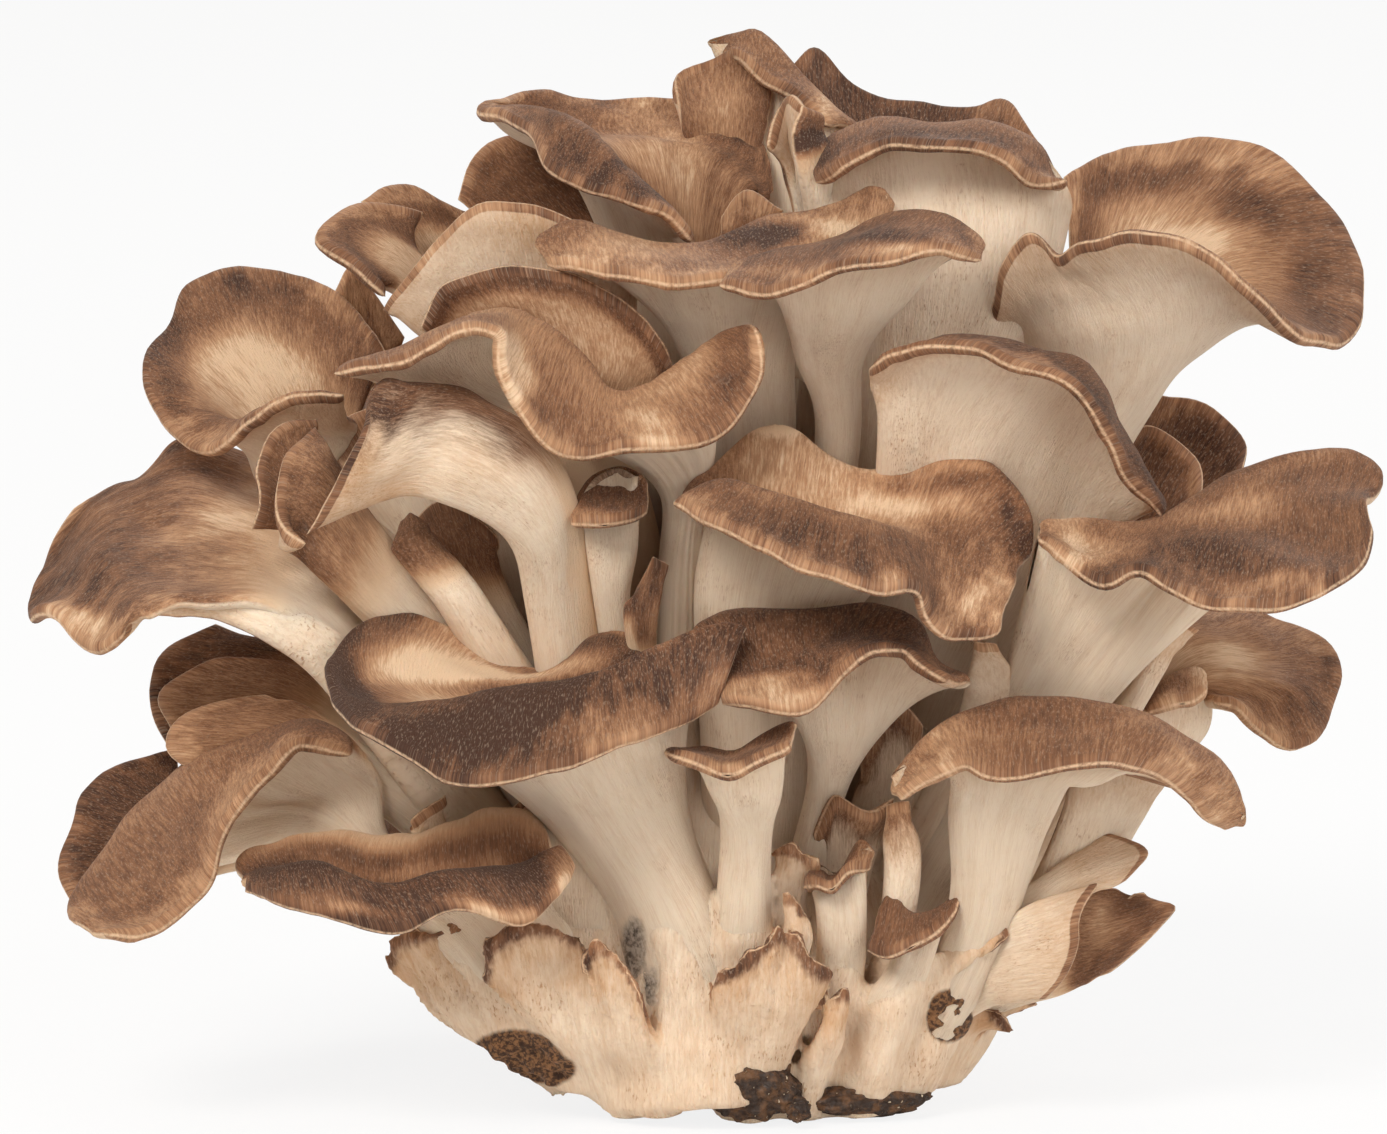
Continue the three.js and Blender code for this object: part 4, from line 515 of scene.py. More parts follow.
    [[23, -20, 46], [34, -18, 46]],
    [[23.5, -26, 54], [29, -27, 61.5], [35, -26, 58]],
  ]},
  {"node": "curl_pale", "stout": 6, "rows": [
    [[24, -14, 28], [32, -12, 28]],
    [[38, -26, 56], [46, -24, 56]],
    [[40, -30, 66], [47, -28, 65]],
    [[41, -32, 71.5], [44.5, -31, 71]],
  ]},
  {"node": "club_low", "stout": 8, "rows": [
    [[16, -30, 4], [22, -28, 4]],
    [[18, -38, 20], [25, -36, 20]],
    [[18, -42, 30], [25.5, -40, 30]],
    [[16, -40, 36], [18.5, -39, 38.5], [21, -38, 36.8], [24, -38, 41.5], [26.8, -40, 41]],
    [[15.8, -45, 35.3], [18, -48, 35.2], [20.6, -47, 34.2], [23, -46, 37.5], [26.7, -43, 38.8]],
  ]},
  {"node": "saddle_low", "stout": 8, "rows": [
    [[20, -32, 4], [28, -30, 4]],
    [[25, -40, 17], [33, -38, 17]],
    [[29, -40, 24], [36, -38, 26]],
    [[28, -40, 33.3], [30.5, -39, 33], [32.5, -39, 30.6], [35.5, -38, 31.2], [39.5, -38, 35.6]],
    [[25, -46, 25], [28.5, -49, 24.2], [32, -48, 26], [35.5, -46, 28.2], [38.6, -43, 32]],
  ]},
  {"node": "twin_upper_left", "stout": 6, "under": -1, "rows": [
    [[-14, 2, 58], [-10, 6, 60]],
    [[-32, -4, 104], [-28, 0, 108]],
    [[-42, -10, 121], [-38, -6, 125]],
    [[-45, -14, 124.5], [-49, -12, 129], [-47, -8, 132.5], [-41, -6, 130]],
    [[-44.5, -17, 123], [-50, -17, 127], [-56, -14, 130.8], [-53, -10, 135], [-46, -7, 136.4],
      [-40, -6, 134.5]],
  ]},
  {"node": "twin_upper_left", "stout": 6, "under": -1, "rows": [
    [[-12, 4, 62], [-4, 6, 62]],
    [[-31, 0, 108], [-22, 2, 110]],
    [[-44, 0, 131], [-31, 2, 130]],
    [[-50, 0, 136.5], [-47, 2, 139], [-42.5, 3, 139.8], [-37.5, 3, 137.2], [-32, 3, 135]],
  ]},
  {"node": "sheet_back_top", "stout": 7, "under": -1, "rows": [
    [[8, 14, 48], [20, 16, 48]],
    [[14, 14, 100], [34, 14, 100]],
    [[14, 12, 135], [30, 11, 134], [48, 12, 134]],
    [[12, 16, 155], [19, 18, 160.5], [25, 20, 155], [33, 20, 153.3], [41, 20, 152.5], [47, 18, 153],
      [52, 14, 146]],
  ]},
  {"node": "sheet_back_left", "stout": 6, "under": -1, "rows": [
    [[-6, 12, 58], [2, 12, 58]],
    [[-14, 10, 110], [-2, 10, 110]],
    [[-26, 8, 130], [-10, 11, 132]],
    [[-35, 6, 137], [-33, 8, 143], [-28, 10, 147.2], [-22, 12, 148]],
  ]},
  {"node": "fans_right_back", "stout": 7, "under": -1, "rows": [
    [[30, 8, 40], [38, 10, 40]],
    [[52, 2, 76], [64, 5, 72]],
    [[66, -4, 101], [70, -3, 102.5], [76, -3, 97.8], [75, -2, 89]],
  ]},
  {"node": "fans_right_back", "stout": 7, "under": -1, "rows": [
    [[32, 10, 42], [40, 12, 42]],
    [[54, 8, 78], [66, 10, 76]],
    [[64, 4, 103], [67.5, 5, 110], [71, 6, 107.2], [78, 6, 106.3], [83.3, 6, 101], [81.5, 6, 95]],
  ]},
]

# name, direction from +X, height of the foot, reach, rim height, half width, droop, phase of its waves
backFronds = [
  ["back_top_right", 68, 50, 52, 140, 26, 6, 0.4],
  ["back_top_left", 112, 50, 56, 128, 27, -7, 2.1],
  ["back_high_right", 34, 46, 68, 112, 25, 10, 1.2],
  ["back_high_mid", 90, 44, 70, 108, 30, 12, 5.0],
  ["back_high_left", 150, 46, 66, 104, 25, -6, 3.3],
  ["back_mid_right", 58, 32, 78, 82, 30, -8, 4.1],
  ["back_mid_left", 122, 32, 78, 84, 30, 13, 0.9],
  ["back_side_left", 163, 30, 78, 70, 25, 10, 2.6],
  ["back_side_right", 20, 26, 76, 66, 25, 11, 5.6],
  ["back_low_right", 40, 14, 66, 42, 25, -5, 1.7],
  ["back_low_mid", 88, 16, 72, 54, 31, 12, 3.8],
  ["back_low_left", 137, 14, 68, 44, 27, 10, 4.6],
  ["back_top_right", 48, 50, 42, 124, 18, -5, 2.8],
  ["back_top_left", 138, 50, 44, 118, 18, 7, 0.2],
  ["back_high_right", 12, 44, 54, 98, 17, 7, 3.9],
  ["back_high_mid", 106, 42, 58, 92, 17, -6, 1.9],
  ["back_mid_right", 38, 30, 66, 70, 17, 9, 0.7],
  ["back_mid_left", 143, 30, 66, 68, 17, -5, 5.2],
  ["back_low_right", 62, 14, 58, 36, 17, 8, 3.0],
  ["back_low_left", 112, 14, 58, 36, 17, 8, 2.2],
  ["back_side_right", 4, 20, 58, 42, 15, 7, 1.1],
]

# shape of every frond of that list: distances in millimetres, or as shares of its reach, rise and size
plainFrond = {
    "stout": 9,
    "root": {"distance": 6, "halfWidth": 6},
    "stalk": {"share": 0.4, "halfWidth": 6.5},
    "neck": 0.55,
    "turn": 2.1,  # how far the rim wraps round towards the stalk, in radians each way
    "throat": {"points": 5, "size": 0.35, "rise": 0.82, "wave": 0.4},
    "cap": {"points": 7, "size": 0.75, "rise": 1, "wave": 2},
    "rim": {"points": 7, "size": 1, "rise": 1, "wave": 3.2},
    "longWave": 3.1,
    "shortWave": 7,
}

footLobes = [
  {"stout": 8, "rows": [  # frill at the front
    [[5, -36, 3], [12, -36, 3]],
    [[4, -43, 12], [15, -43, 11]],
    [[3, -46, 19], [10, -47, 19], [18, -45, 17]],
    [[3, -48, 22], [6, -50, 24.5], [10, -51, 26.5], [12.5, -51, 29], [15, -50, 28.3], [18, -49, 24.8],
      [21.5, -47, 23.3]],
  ]},
  {"stout": 6, "rows": [  # finger beside the frill
    [[13, -35, 3], [18, -34, 2]],
    [[17, -43, 11], [21.5, -42, 10.5]],
    [[20.5, -46, 20.5], [24, -45, 20.5]],
  ]},
  {"stout": 6, "rows": [  # curls between the trunk and the low club
    [[9, -38, 12], [14, -38, 12]],
    [[12.5, -45, 27], [17.5, -44, 28]],
    [[13, -46, 34.5], [16.5, -46, 33]],
  ]},
  {"stout": 6, "rows": [
    [[11, -34, 16], [17, -33, 16]],
    [[11.5, -39, 34], [17, -38, 34]],
    [[11.5, -41, 40.5], [15, -42, 42.2], [19.3, -41, 38]],
  ]},
  {"stout": 8, "rows": [  # pale fan, far left
    [[-23, -28, 11], [-15, -32, 8]],
    [[-36, -33, 15.5], [-23, -38, 12]],
    [[-46, -35, 24], [-44, -37, 28], [-39, -39, 29.5], [-31, -40, 29]],
  ]},
  {"stout": 8, "rows": [  # pale fan, middle
    [[-13, -34, 6], [-5, -35, 4]],
    [[-24, -42, 15], [-10, -43, 13]],
    [[-31.3, -45, 22.5], [-30.5, -47, 27.5], [-25, -48, 30], [-16, -47, 28.5]],
  ]},
  {"stout": 6, "rows": [  # pale curl by the trunk
    [[-9, -38, 3], [-2, -38, 3]],
    [[-12, -45, 14], [-5, -46, 12]],
    [[-16.5, -48, 24.5], [-15, -49, 27.5], [-11, -49, 26], [-7, -49, 19]],
  ]},
  {"stout": 7, "under": -1, "rows": [  # long curl, right
    [[26, -30, 4], [22, -28, 12]],
    [[36, -36, 16], [32, -36, 21]],
    [[41, -38, 22.5], [39, -38, 27]],
    [[46.5, -38, 25.3], [47.5, -37, 28], [44.5, -36, 30]],
  ]},
  {"stout": 6, "under": -1, "rows": [  # loose ends at the right of the foot
    [[32, -24, 5], [30, -22, 14]],
    [[42, -26, 11], [40, -25, 17]],
    [[48, -27, 12.8], [45.5, -27, 17]],
  ]},
  {"stout": 5, "under": -1, "rows": [
    [[36, -22, 8], [34, -20, 16]],
    [[45, -24, 14.5], [43, -23, 19]],
    [[52.3, -25, 16], [50, -24, 17.8]],
  ]},
]

# How brown a frond's top has grown: tone is the darkness of the band along its rim, band the width of that
# band from one end of the rim to the other, inner how brown the rest of the top is, touches are patches that
# are browner or paler (x, z, half sizes, amount), tip and spill bring brown round onto the underside,
# throat is the share of its length at which the brown starts, streaky how strong its broad streaks are,
# pleats are folds along its length, and joined marks the ends of the rim that run on into a neighbour.
looks = {
    "plain": {"tone": 0.7, "band": (13,), "inner": 0.34, "streaky": 0.11},
    "wing_left": {
        "tone": 0.86, "band": (7, 6, 10, 24, 30, 28, 24), "inner": 0.1,
        "touches": [
            (-36, 69, 17, 5, -0.6), (-52, 66, 5, 8, 0.5), (-36, 57, 14, 5, 0.25), (-20, 59, 12, 6, 0.25),
            (-10, 58, 8, 2.5, -0.25), (-7, 74, 4, 4, -0.4), (-22, 65, 14, 2, 0.2),
        ],
        "joined": (0, 1), "streaky": 0.11,
    },
    "wing_right": {
        "tone": 0.8, "band": (30,), "inner": 0.6,
        "touches": [
            (5, 68, 2.5, 6, 0.12), (14, 74, 16, 2.5, 0.1), (12, 63, 11, 2, -0.35), (33, 68, 5, 3, -0.2),
        ],
        "joined": (1, 0), "streaky": 0.11,
    },
    "saddle_front": {"tone": 0.7, "band": (9,), "inner": 0.45, "touches": [(5, 52, 9, 1.4, -0.3)]},
    "hood_right": {
        "tone": 0.55, "band": (30,), "inner": 0.45,
        "touches": [(36, 55, 6, 4, -0.2), (52, 61, 16, 3, 0.15), (78, 47, 4, 5, -0.2)],
    },
    "cap_low_left": {
        "tone": 0.82, "band": (18, 22, 22, 14, 12), "inner": 0.5,
        "touches": [
            (-30, 42, 11, 5, 0.3), (-45, 39, 18, 2.5, 0.45), (-57, 32, 9, 2.5, -0.3), (-19, 37, 4, 5, -0.6),
            (-30, 31, 9, 1.6, -0.5), (-50, 30.5, 8, 1.6, -0.4),
        ],
    },
    "hood_left": {"tone": 0.66, "band": (26,), "inner": 0.35},
    "hood_centre": {
        "tone": 0.72, "band": (20, 16, 16, 18, 22, 20), "inner": 0.32, "throat": 0.3,
        "touches": [
            (12, 96, 11, 5, -0.12), (13, 101, 10, 1.3, -0.5), (24, 96.5, 6, 1.2, -0.4),
            (31, 91, 10, 3, -0.15),
            (18, 87, 12, 3.5, 0.1), (37, 95, 11, 2, 0.25), (48, 88, 3, 8, 0.25),
            (33, 89, 14, 3, -0.25), (42, 77, 5, 4, -0.25), (27, 80.5, 8, 2, -0.2), (1, 91, 4, 3, -0.2),
        ],
        "streaky": 0.16,
    },
    "club_centre": {"tone": 0.75, "band": (14,), "inner": 0.5, "tip": 10},
    "arch_left": {
        "tone": 0.7, "band": (9,), "inner": 0.55, "spill": (0.3, 0.95),
        "touches": [(-44, 96, 16, 10, 0.3), (-30, 98, 9, 6, 0.35)],
    },
    "tuck_left": {"tone": 0.6, "band": (10,), "inner": 0.42, "streaky": 0.14},
    "clubs_left": {"tone": 0.6, "band": (12,), "inner": 0.45, "tip": 7},
    "saddle_high": {
        "tone": 0.56, "band": (7, 9, 14, 10, 7), "inner": 0.22,
        "touches": [
            (-26, 111, 2.5, 8, -0.45), (-19, 108, 4, 6, 0.1), (6, 113, 4, 6, 0.2), (-6, 101, 8, 2, -0.35),
            (-40, 115, 14, 3, -0.1),
        ],
    },
    "shell_right": {"tone": 0.85, "band": (12,), "inner": 0.4},
    "cap_right": {
        "tone": 0.7, "band": (14, 18, 24, 24, 18), "inner": 0.35, "streaky": 0.16,
        "touches": [
            (56, 85, 7, 4, -0.6), (76, 83, 14, 5, 0.2), (86, 95, 12, 3, 0.15), (80, 90, 9, 2, -0.15),
            (88, 78.5, 10, 2, -0.25),
        ],
    },
    "crown_twin": {
        "tone": 0.74, "band": (12,), "inner": 0.45,
        "touches": [(25, 131, 14, 2.5, 0.2), (12, 125, 8, 2, -0.25), (32, 128, 10, 1.6, -0.35)],
    },
    "crown_left": {
        "tone": 0.6, "band": (10, 14, 16, 16), "inner": 0.25,
        "touches": [(-13, 128, 11, 4, -0.25), (9, 130, 8, 2.5, 0.5), (20, 132.5, 8, 2, -0.35)],
    },
    "fan_arched": {
        "tone": 0.7, "band": (2.5,), "inner": 0.26, "spill": (-1, -0.5), "touches": [(-30, 126, 10, 2, 0.3)],
    },
    "fan_upright": {
        "tone": 0.45, "band": (4,), "inner": 0.22,
        "touches": [(-38, 128, 6, 8, -0.2), (-22, 131, 10, 5, 0.35)],
    },
    "funnel_left": {
        "tone": 0.66, "band": (12, 10, 9, 12, 14, 10), "inner": 0.3, "streaky": 0.16,
        "touches": [(-66, 112, 12, 6, -0.35), (-68, 124, 10, 3, 0.25), (-79, 112, 4, 8, 0.15)],
    },
    "drape_left": {
        "tone": 0.68, "band": (12, 16, 20, 18, 12), "inner": 0.42, "streaky": 0.27,
        "touches": [
            (-74, 97, 9, 3, 0.2), (-70, 88, 14, 2.5, -0.25), (-88, 83, 8, 5, 0.15), (-90, 72, 5, 3, -0.3),
        ],
    },
    "lip_right_top": {
        "tone": 0.78, "band": (8,), "inner": 0.4,
        "touches": [(17.5, 143, 3, 5, 0.3), (45, 143, 10, 2, -0.15)],
    },
    "funnel_right": {
        "tone": 0.68, "band": (8, 8, 10, 14, 12, 9, 8), "inner": 0.3, "streaky": 0.14,
        "touches": [
            (84, 134, 5, 4, 0.25), (66, 141, 9, 4, 0.15), (93, 124, 4, 7, 0.2), (76, 131, 8, 2, -0.3),
        ],
    },
    "tongue_top": {
        "tone": 0.62, "band": (7,), "inner": 0.36, "touches": [(4, 154, 8, 6, -0.2), (20, 150, 4, 5, -0.4)],
    },
    "bowl_top": {
        "tone": 0.62, "band": (8, 9, 11, 13, 11), "inner": 0.5, "throat": 0.1, "streaky": 0.18,
        "touches": [
            (-18, 145, 6, 4, 0.25), (-11, 140.5, 5, 2.5, 0.3), (-5, 136, 4, 2.5, 0.3), (6, 149, 5, 5, 0.3),
            (-4, 146, 8, 6, -0.25), (-1, 138, 2.5, 7, -0.2),
        ],
    },
    "cap_far_right": {
        "tone": 0.55, "band": (12,), "inner": 0.36, "streaky": 0.18,
        "touches": [(78, 67, 8, 4, -0.3), (94, 66, 4, 8, 0.2)],
    },
    "shelf_right": {"tone": 0.7, "band": (7,), "inner": 0.12},
    "leaf_right": {"tone": 0.72, "band": (7,), "inner": 0.3, "touches": [(60, 31, 2.5, 4, -0.25)]},
    "fans_left": {"tone": 0.55, "band": (10,), "inner": 0.42},
    "fan_left_dark": {"tone": 0.85, "band": (14,), "inner": 0.6},
    "fan_low_left": {"tone": 0.85, "band": (16,), "inner": 0.6},
    "fans_right_back": {"tone": 0.8, "band": (12,), "inner": 0.55},
    "twin_upper_left": {"tone": 0.7, "band": (8, 9, 10), "inner": 0.14},
    "sheet_back_top": {"tone": 0.85, "band": (20,), "inner": 0.6},
    "sheet_back_left": {"tone": 0.7, "band": (12,), "inner": 0.42},
    "club_low": {"tone": 0.7, "band": (8,), "inner": 0.5, "tip": 5, "pleats": 0.3},
    "saddle_low": {"tone": 0.7, "band": (8,), "inner": 0.5, "tip": 4, "pleats": 0.3},
    "cup_small": {"tone": 0.7, "band": (8,), "inner": 0.6, "tip": 6, "pleats": 0.3},
    "finger_right": {"tone": 0.6, "band": (8,), "inner": 0.5, "tip": 6},
    "cap_tucked": {"tone": 0.75, "band": (8,), "inner": 0.6, "tip": 6},
    "curl_pale": {"tone": 0.5, "band": (6,), "inner": 0.3},
    "foot": {"tone": 0.42, "band": (4,), "inner": 0.1, "tip": 1.8},
}

# How every sheet is made: sizes in millimetres, shares of a lobe's length from its foot to its rim.
sheet = {
    "rim": 2.3,  # thickness at the rim
    "thinning": (0.1, 0.85),  # shares between which it thins from stalk to rim
    "flattening": (0.3, 0.8),  # shares between which its section turns from an oval into a flat sheet
    "evenness": 0.5,  # how evenly the mesh is spaced across a flat sheet
    "squareness": 0.7,  # how square the sides of a flat sheet's section are
    "capStart": (0.4, 0.8),  # shares between which a stalk turns into a cap
    "apartFrom": 0.35,  # share past which its folds are kept apart
    "sideStart": (0.45, 0.8),  # shares between which its sides become part of the rim
    "sideAway": 30,  # distance that keeps the stalk's sides from counting as rim
    "pullIn": (0.8, 1),  # shares between which it is drawn back to leave room for the rounded rim
    "flare": 0.7,  # how much a stalk thickens at its foot
    "flareReach": 0.3,
    "footSpread": 3,  # how much wider a stalk's foot is on each side
    "rootSwell": 1.3,  # extra half thickness of a root in the foot
    "rootTaper": 2.2,  # how much thinner it is again by its end
    "grain": 1.05,  # spacing of the mesh
    "roundSteps": (16, 120),  # fewest and most steps over half a section, and along a lobe
    "alongSteps": (18, 120),
    "rootSteps": (36, 24),  # steps round the section and along, in the foot
    "rollSteps": 4,  # steps of the rounded rim
    "rimCrowding": (0.65, 1.5),  # share of the steps that crowd towards the rim, and how much
    "evening": 10,  # rounds of averaging of the sheet's facing, which keeps tight folds clean
    "smoothing": 2,  # rounds of smoothing of the finished frond
    "gridAcross": 80,  # points of the grid that its surface is read from
    "gridAlong": 110,
    "rounding": 24,  # rounds of averaging that soften its folds
    "putBack": 0.8,  # share of the lost detail that is put back
    "probe": 0.012,  # part of a lobe over which its slope is read
    "skip": 0.2,  # distance from a face at which the search for other folds starts
    "search": 1.6,  # how far the search goes, in thicknesses of the sheet
    "keptShare": 0.45,  # share of a gap between folds that the sheet's thickness may fill
}

# Waves of the sheets: pairs of a wavelength and a height, in millimetres.
waves = {
    "bend": ((20, 0.7), (9, 0.2)),  # of a whole cap
    "ruffle": ((14, 0.5), (5, 0.12)),  # near the rim
    "ruffleReach": 7,
    "pleat": 3.4,  # wavelength only
    "pleatHeight": 0.1,
    "pleatDrawn": (1, 0.12),  # pace across and along
    "flute": ((4.5, 0.6),),  # ribs down a stalk
    "fluteDrawn": (0.4, 0.08),
    "leastNarrowing": 0.15,  # ribs get lower where a stalk narrows, but not below this share
    "edge": ((9, 0.35), (3, 0.1)),  # in and out along the rim and the sides
    "edgeReach": 4,
    "spill": ((9, 0.05),),  # of the brown that comes round onto the underside, in shares of the width
    "touch": (14, 1.5),  # of the patches' outlines
}

# painted shade: flesh deep in the crowd, where shade falls between the fronds, is coloured dim brown
shadedCrowd = {"middle": (0, 8, 62), "half": (92, 62, 88), "fade": (0.3, 0.72)}
mould = [((-8, -38, 27), (2.6, 7, 7)), ((-6, -38, 20), (2, 7, 5))]  # a dark cleft: middle and half sizes
# "tip" is how far the brown runs over the rim onto the underside, in millimetres
brownDefaults = {"tip": 0.01, "throat": 0.35, "throatLength": 0.4, "streaky": 0.07}
streakShift = 137.0  # keeps the streaks of neighbouring lobes apart
# where a patch's soft edge starts and ends, in shares of its half sizes
softEdge = {"spot": (0.75, 1.25), "touch": (0.1, 1.4)}
nearEnough = 2e-6  # in metres: points closer than this are one
rippleWaves = {"count": 8, "spread": (0.7, 1.6)}  # plane waves in a ripple, and the spread of their lengths


def smoothStep(low, high, x):
    t = np.clip((x - low) / (high - low), 0, 1)
    return t * t * (3 - 2 * t)


def ripple(points, wavelength, seed):
    # smooth noise of about unit height: a few plane waves in fixed random directions
    rng = np.random.default_rng(seed)
    count = rippleWaves["count"]
    directions = rng.normal(size=(count, points.shape[1]))
    directions /= np.linalg.norm(directions, axis=1)[:, None]
    pace = 2 * math.pi / (wavelength * rng.uniform(*rippleWaves["spread"], count))
    phases = rng.uniform(0, 2 * math.pi, count)
    return np.sin(points @ (directions * pace[:, None]).T + phases).sum(axis=1) / math.sqrt(count)


def ripples(points, waveList, seed):
    return sum(height * ripple(points, length, seed + k) for k, (length, height) in enumerate(waveList))


def throughPoints(points, t):
    # Catmull-Rom through points: shape (count, 3), or (count, samples, 3) with one t for each sample
    count = len(points) - 1
    ends = [2 * points[:1] - points[1:2], points, 2 * points[-1:] - points[-2:-1]]
    padded = np.concatenate(ends)
    place = np.clip(t * count, 0, count - 1e-9)
    low = place.astype(int)
    f = (place - low)[:, None]
    pick = (lambda k: padded[low + k]) if points.ndim == 2 else (lambda k: padded[low + k, np.arange(len(t))])
    a, b, c, d = pick(0), pick(1), pick(2), pick(3)
    return 0.5 * (2 * b + (c - a) * f + (2 * a - 5 * b + 4 * c - d) * f**2 + (3 * b - a - 3 * c + d) * f**3)


def middleSurface(rows, u, v):
    return throughPoints(np.stack([throughPoints(row, u) for row in rows]), v)


def closeGrid(rows):
    # a lobe's surface on a close grid, with its tight folds rounded
    alongLine, acrossLine = np.linspace(0, 1, sheet["gridAlong"]), np.linspace(0, 1, sheet["gridAcross"])
    v, u = np.meshgrid(alongLine, acrossLine, indexing="ij")
    plain = middleSurface(rows, u.ravel(), v.ravel()).reshape(*u.shape, 3)
    once = rounded(plain)
    return once + sheet["putBack"] * rounded(plain - once)


def rounded(field):
    # averages over a few millimetres and leaves the edges where they are
    field = field.copy()
    for _ in range(sheet["rounding"]):
        field[1:-1] = (field[:-2] + 2 * field[1:-1] + field[2:]) / 4
    for _ in range(sheet["rounding"] // 3):
        field[:, 1:-1] = (field[:, :-2] + 2 * field[:, 1:-1] + field[:, 2:]) / 4
    return field


def onGrid(grid, u, v):
    # a point of the close grid, between its four neighbours
    x, y = u * (grid.shape[1] - 1), v * (grid.shape[0] - 1)
    left, low = np.minimum(x.astype(int), grid.shape[1] - 2), np.minimum(y.astype(int), grid.shape[0] - 2)
    p, q = (x - left)[:, None], (y - low)[:, None]
    bottom = grid[low, left] * (1 - p) + grid[low, left + 1] * p
    return bottom * (1 - q) + (grid[low + 1, left] * (1 - p) + grid[low + 1, left + 1] * p) * q


def unit(vectors):
    return vectors / np.maximum(np.linalg.norm(vectors, axis=1), 1e-9)[:, None]


def backRows(direction, footHeight, reach, rimHeight, halfWidth, droop, phase):
    # a plain frond: a stalk that opens into a rounded, waved fan, turned up where its droop is negative
    angle = math.radians(direction)
    out = np.array([math.cos(angle), math.sin(angle), 0])
    across = np.array([-math.sin(angle), math.cos(angle), 0])
    rise = rimHeight - footHeight
    neck = reach * plainFrond["neck"]

    def place(distance, side, height):
        return out * distance + across * side + np.array([0, 0, height])

    def stalkRow(distance, height, width):
        return [place(distance, side, height) for side in (-width, width)]

    def fanRow(part, drop):
        row = []
        for t in np.linspace(-1, 1, part["points"]):
            long = math.sin(plainFrond["longWave"] * t + phase)
            short = math.sin(plainFrond["shortWave"] * t + 2 * phase)
            turn = plainFrond["turn"] * t
            distance = neck + part["size"] * (reach - neck) * math.cos(turn)
            height = footHeight + rise * part["rise"] - drop + part["wave"] * (long + 0.5 * short)
            row.append(place(distance, part["size"] * halfWidth * math.sin(turn), height))
        return row

    root, stalk = plainFrond["root"], plainFrond["stalk"]
    return [
        stalkRow(root["distance"], footHeight, root["halfWidth"]),
        stalkRow(reach * stalk["share"], footHeight + rise * stalk["share"], stalk["halfWidth"]),
        fanRow(plainFrond["throat"], 0),
        fanRow(plainFrond["cap"], 0),
        fanRow(plainFrond["rim"], droop),
    ]


def keptApart(grid, starts, reaches):
    # shortens each reach that would pass through another fold of the same sheet
    rows, columns = grid.shape[:2]
    first = (np.arange(rows - 1)[:, None] * columns + np.arange(columns - 1)).ravel()
    faces = np.stack([first, first + 1, first + 1 + columns, first + columns], axis=1)
    tree = BVHTree.FromPolygons(grid.reshape(-1, 3).tolist(), faces.tolist())
    lengths = np.linalg.norm(reaches, axis=1)
    for k in np.flatnonzero(lengths > sheet["skip"]):
        line = Vector(reaches[k] / lengths[k])
        start = Vector(starts[k]) + line * sheet["skip"]
        distance = tree.ray_cast(start, line, lengths[k] * sheet["search"])[3]
        if distance is not None:
            reaches[k] *= min(1, sheet["keptShare"] * (distance + sheet["skip"]) / lengths[k])
    return reaches


# values kept at every point of the flesh, for its material to read
surfaceMarks = (
    "top", "rimGap", "bandGap", "inner", "cap", "tone", "touch", "streaky", "streakX", "streakY", "spill",
    "deep", "scar", "mould",
)


def startPiece():
    bm = bmesh.new()
    for name in surfaceMarks:
        bm.verts.layers.float.new(name)
    return bm


def markVerts(bm, verts, marks):
    layers = [bm.verts.layers.float[name] for name in surfaceMarks]
    blank = np.zeros(len(marks["top"]))
    for vert, values in zip(verts, np.stack([marks.get(name, blank) for name in surfaceMarks], axis=1)):
        for layer, value in zip(layers, values):
            vert[layer] = value


def readMarks(bm):
    layers = [bm.verts.layers.float[name] for name in surfaceMarks]
    return np.array([[vert[layer] for layer in layers] for vert in bm.verts])


def evened(vectors, order, shape, rounds):
    # averages vectors over the sheet's grid
    field = vectors[order].reshape(*shape, 3)
    for _ in range(rounds):
        field[1:-1] = (field[:-2] + 2 * field[1:-1] + field[2:]) / 4
        field[:, 1:-1] = (field[:, :-2] + 2 * field[:, 1:-1] + field[:, 2:]) / 4
    result = np.empty_like(vectors)
    result[order] = field.reshape(-1, 3)
    return unit(result)


def nearness(points, spots):
    # 1 inside the spots, 0 well outside
    near = np.zeros(len(points))
    for middle, half in spots:
        away = np.linalg.norm((points - np.array(middle)) / np.array(half), axis=1)
        near = np.maximum(near, 1 - smoothStep(*softEdge["spot"], away))
    return near


# painted shade: how deep a point lies in the crowd, which darkens its colour
def crowdShadeOf(points):
    away = np.linalg.norm((points - np.array(shadedCrowd["middle"])) / np.array(shadedCrowd["half"]), axis=1)
    return 1 - smoothStep(*shadedCrowd["fade"], away)


def touched(points, touches):
    # soft patches that are browner or paler than the rest: x, z, half sizes, amount
    total = np.zeros(len(points))
    for x, z, halfX, halfZ, amount in touches:
        away = np.hypot((points[:, 0] - x) / halfX, (points[:, 2] - z) / halfZ)
        total += amount * (1 - smoothStep(*softEdge["touch"], away))
    return total


def meshSteps(rimWidth, length, rooted):
    if rooted:
        return sheet["rootSteps"]
    across = int(np.clip(rimWidth / sheet["grain"], *sheet["roundSteps"]))
    return 2 * across, int(np.clip(length / sheet["grain"], *sheet["alongSteps"]))


def slopes(close, u, v):
    # the sheet's directions across and along, and its span in each from end to end
    left, right = np.maximum(u - sheet["probe"], 0), np.minimum(u + sheet["probe"], 1)
    low, high = np.maximum(v - sheet["probe"], 0), np.minimum(v + sheet["probe"], 1)
    acrossLine = onGrid(close, right, v) - onGrid(close, left, v)
    alongLine = onGrid(close, u, high) - onGrid(close, u, low)
    acrossSpan = np.linalg.norm(acrossLine, axis=1) / (right - left)
    alongSpan = np.linalg.norm(alongLine, axis=1) / (high - low)
    return acrossLine, alongLine, acrossSpan, alongSpan


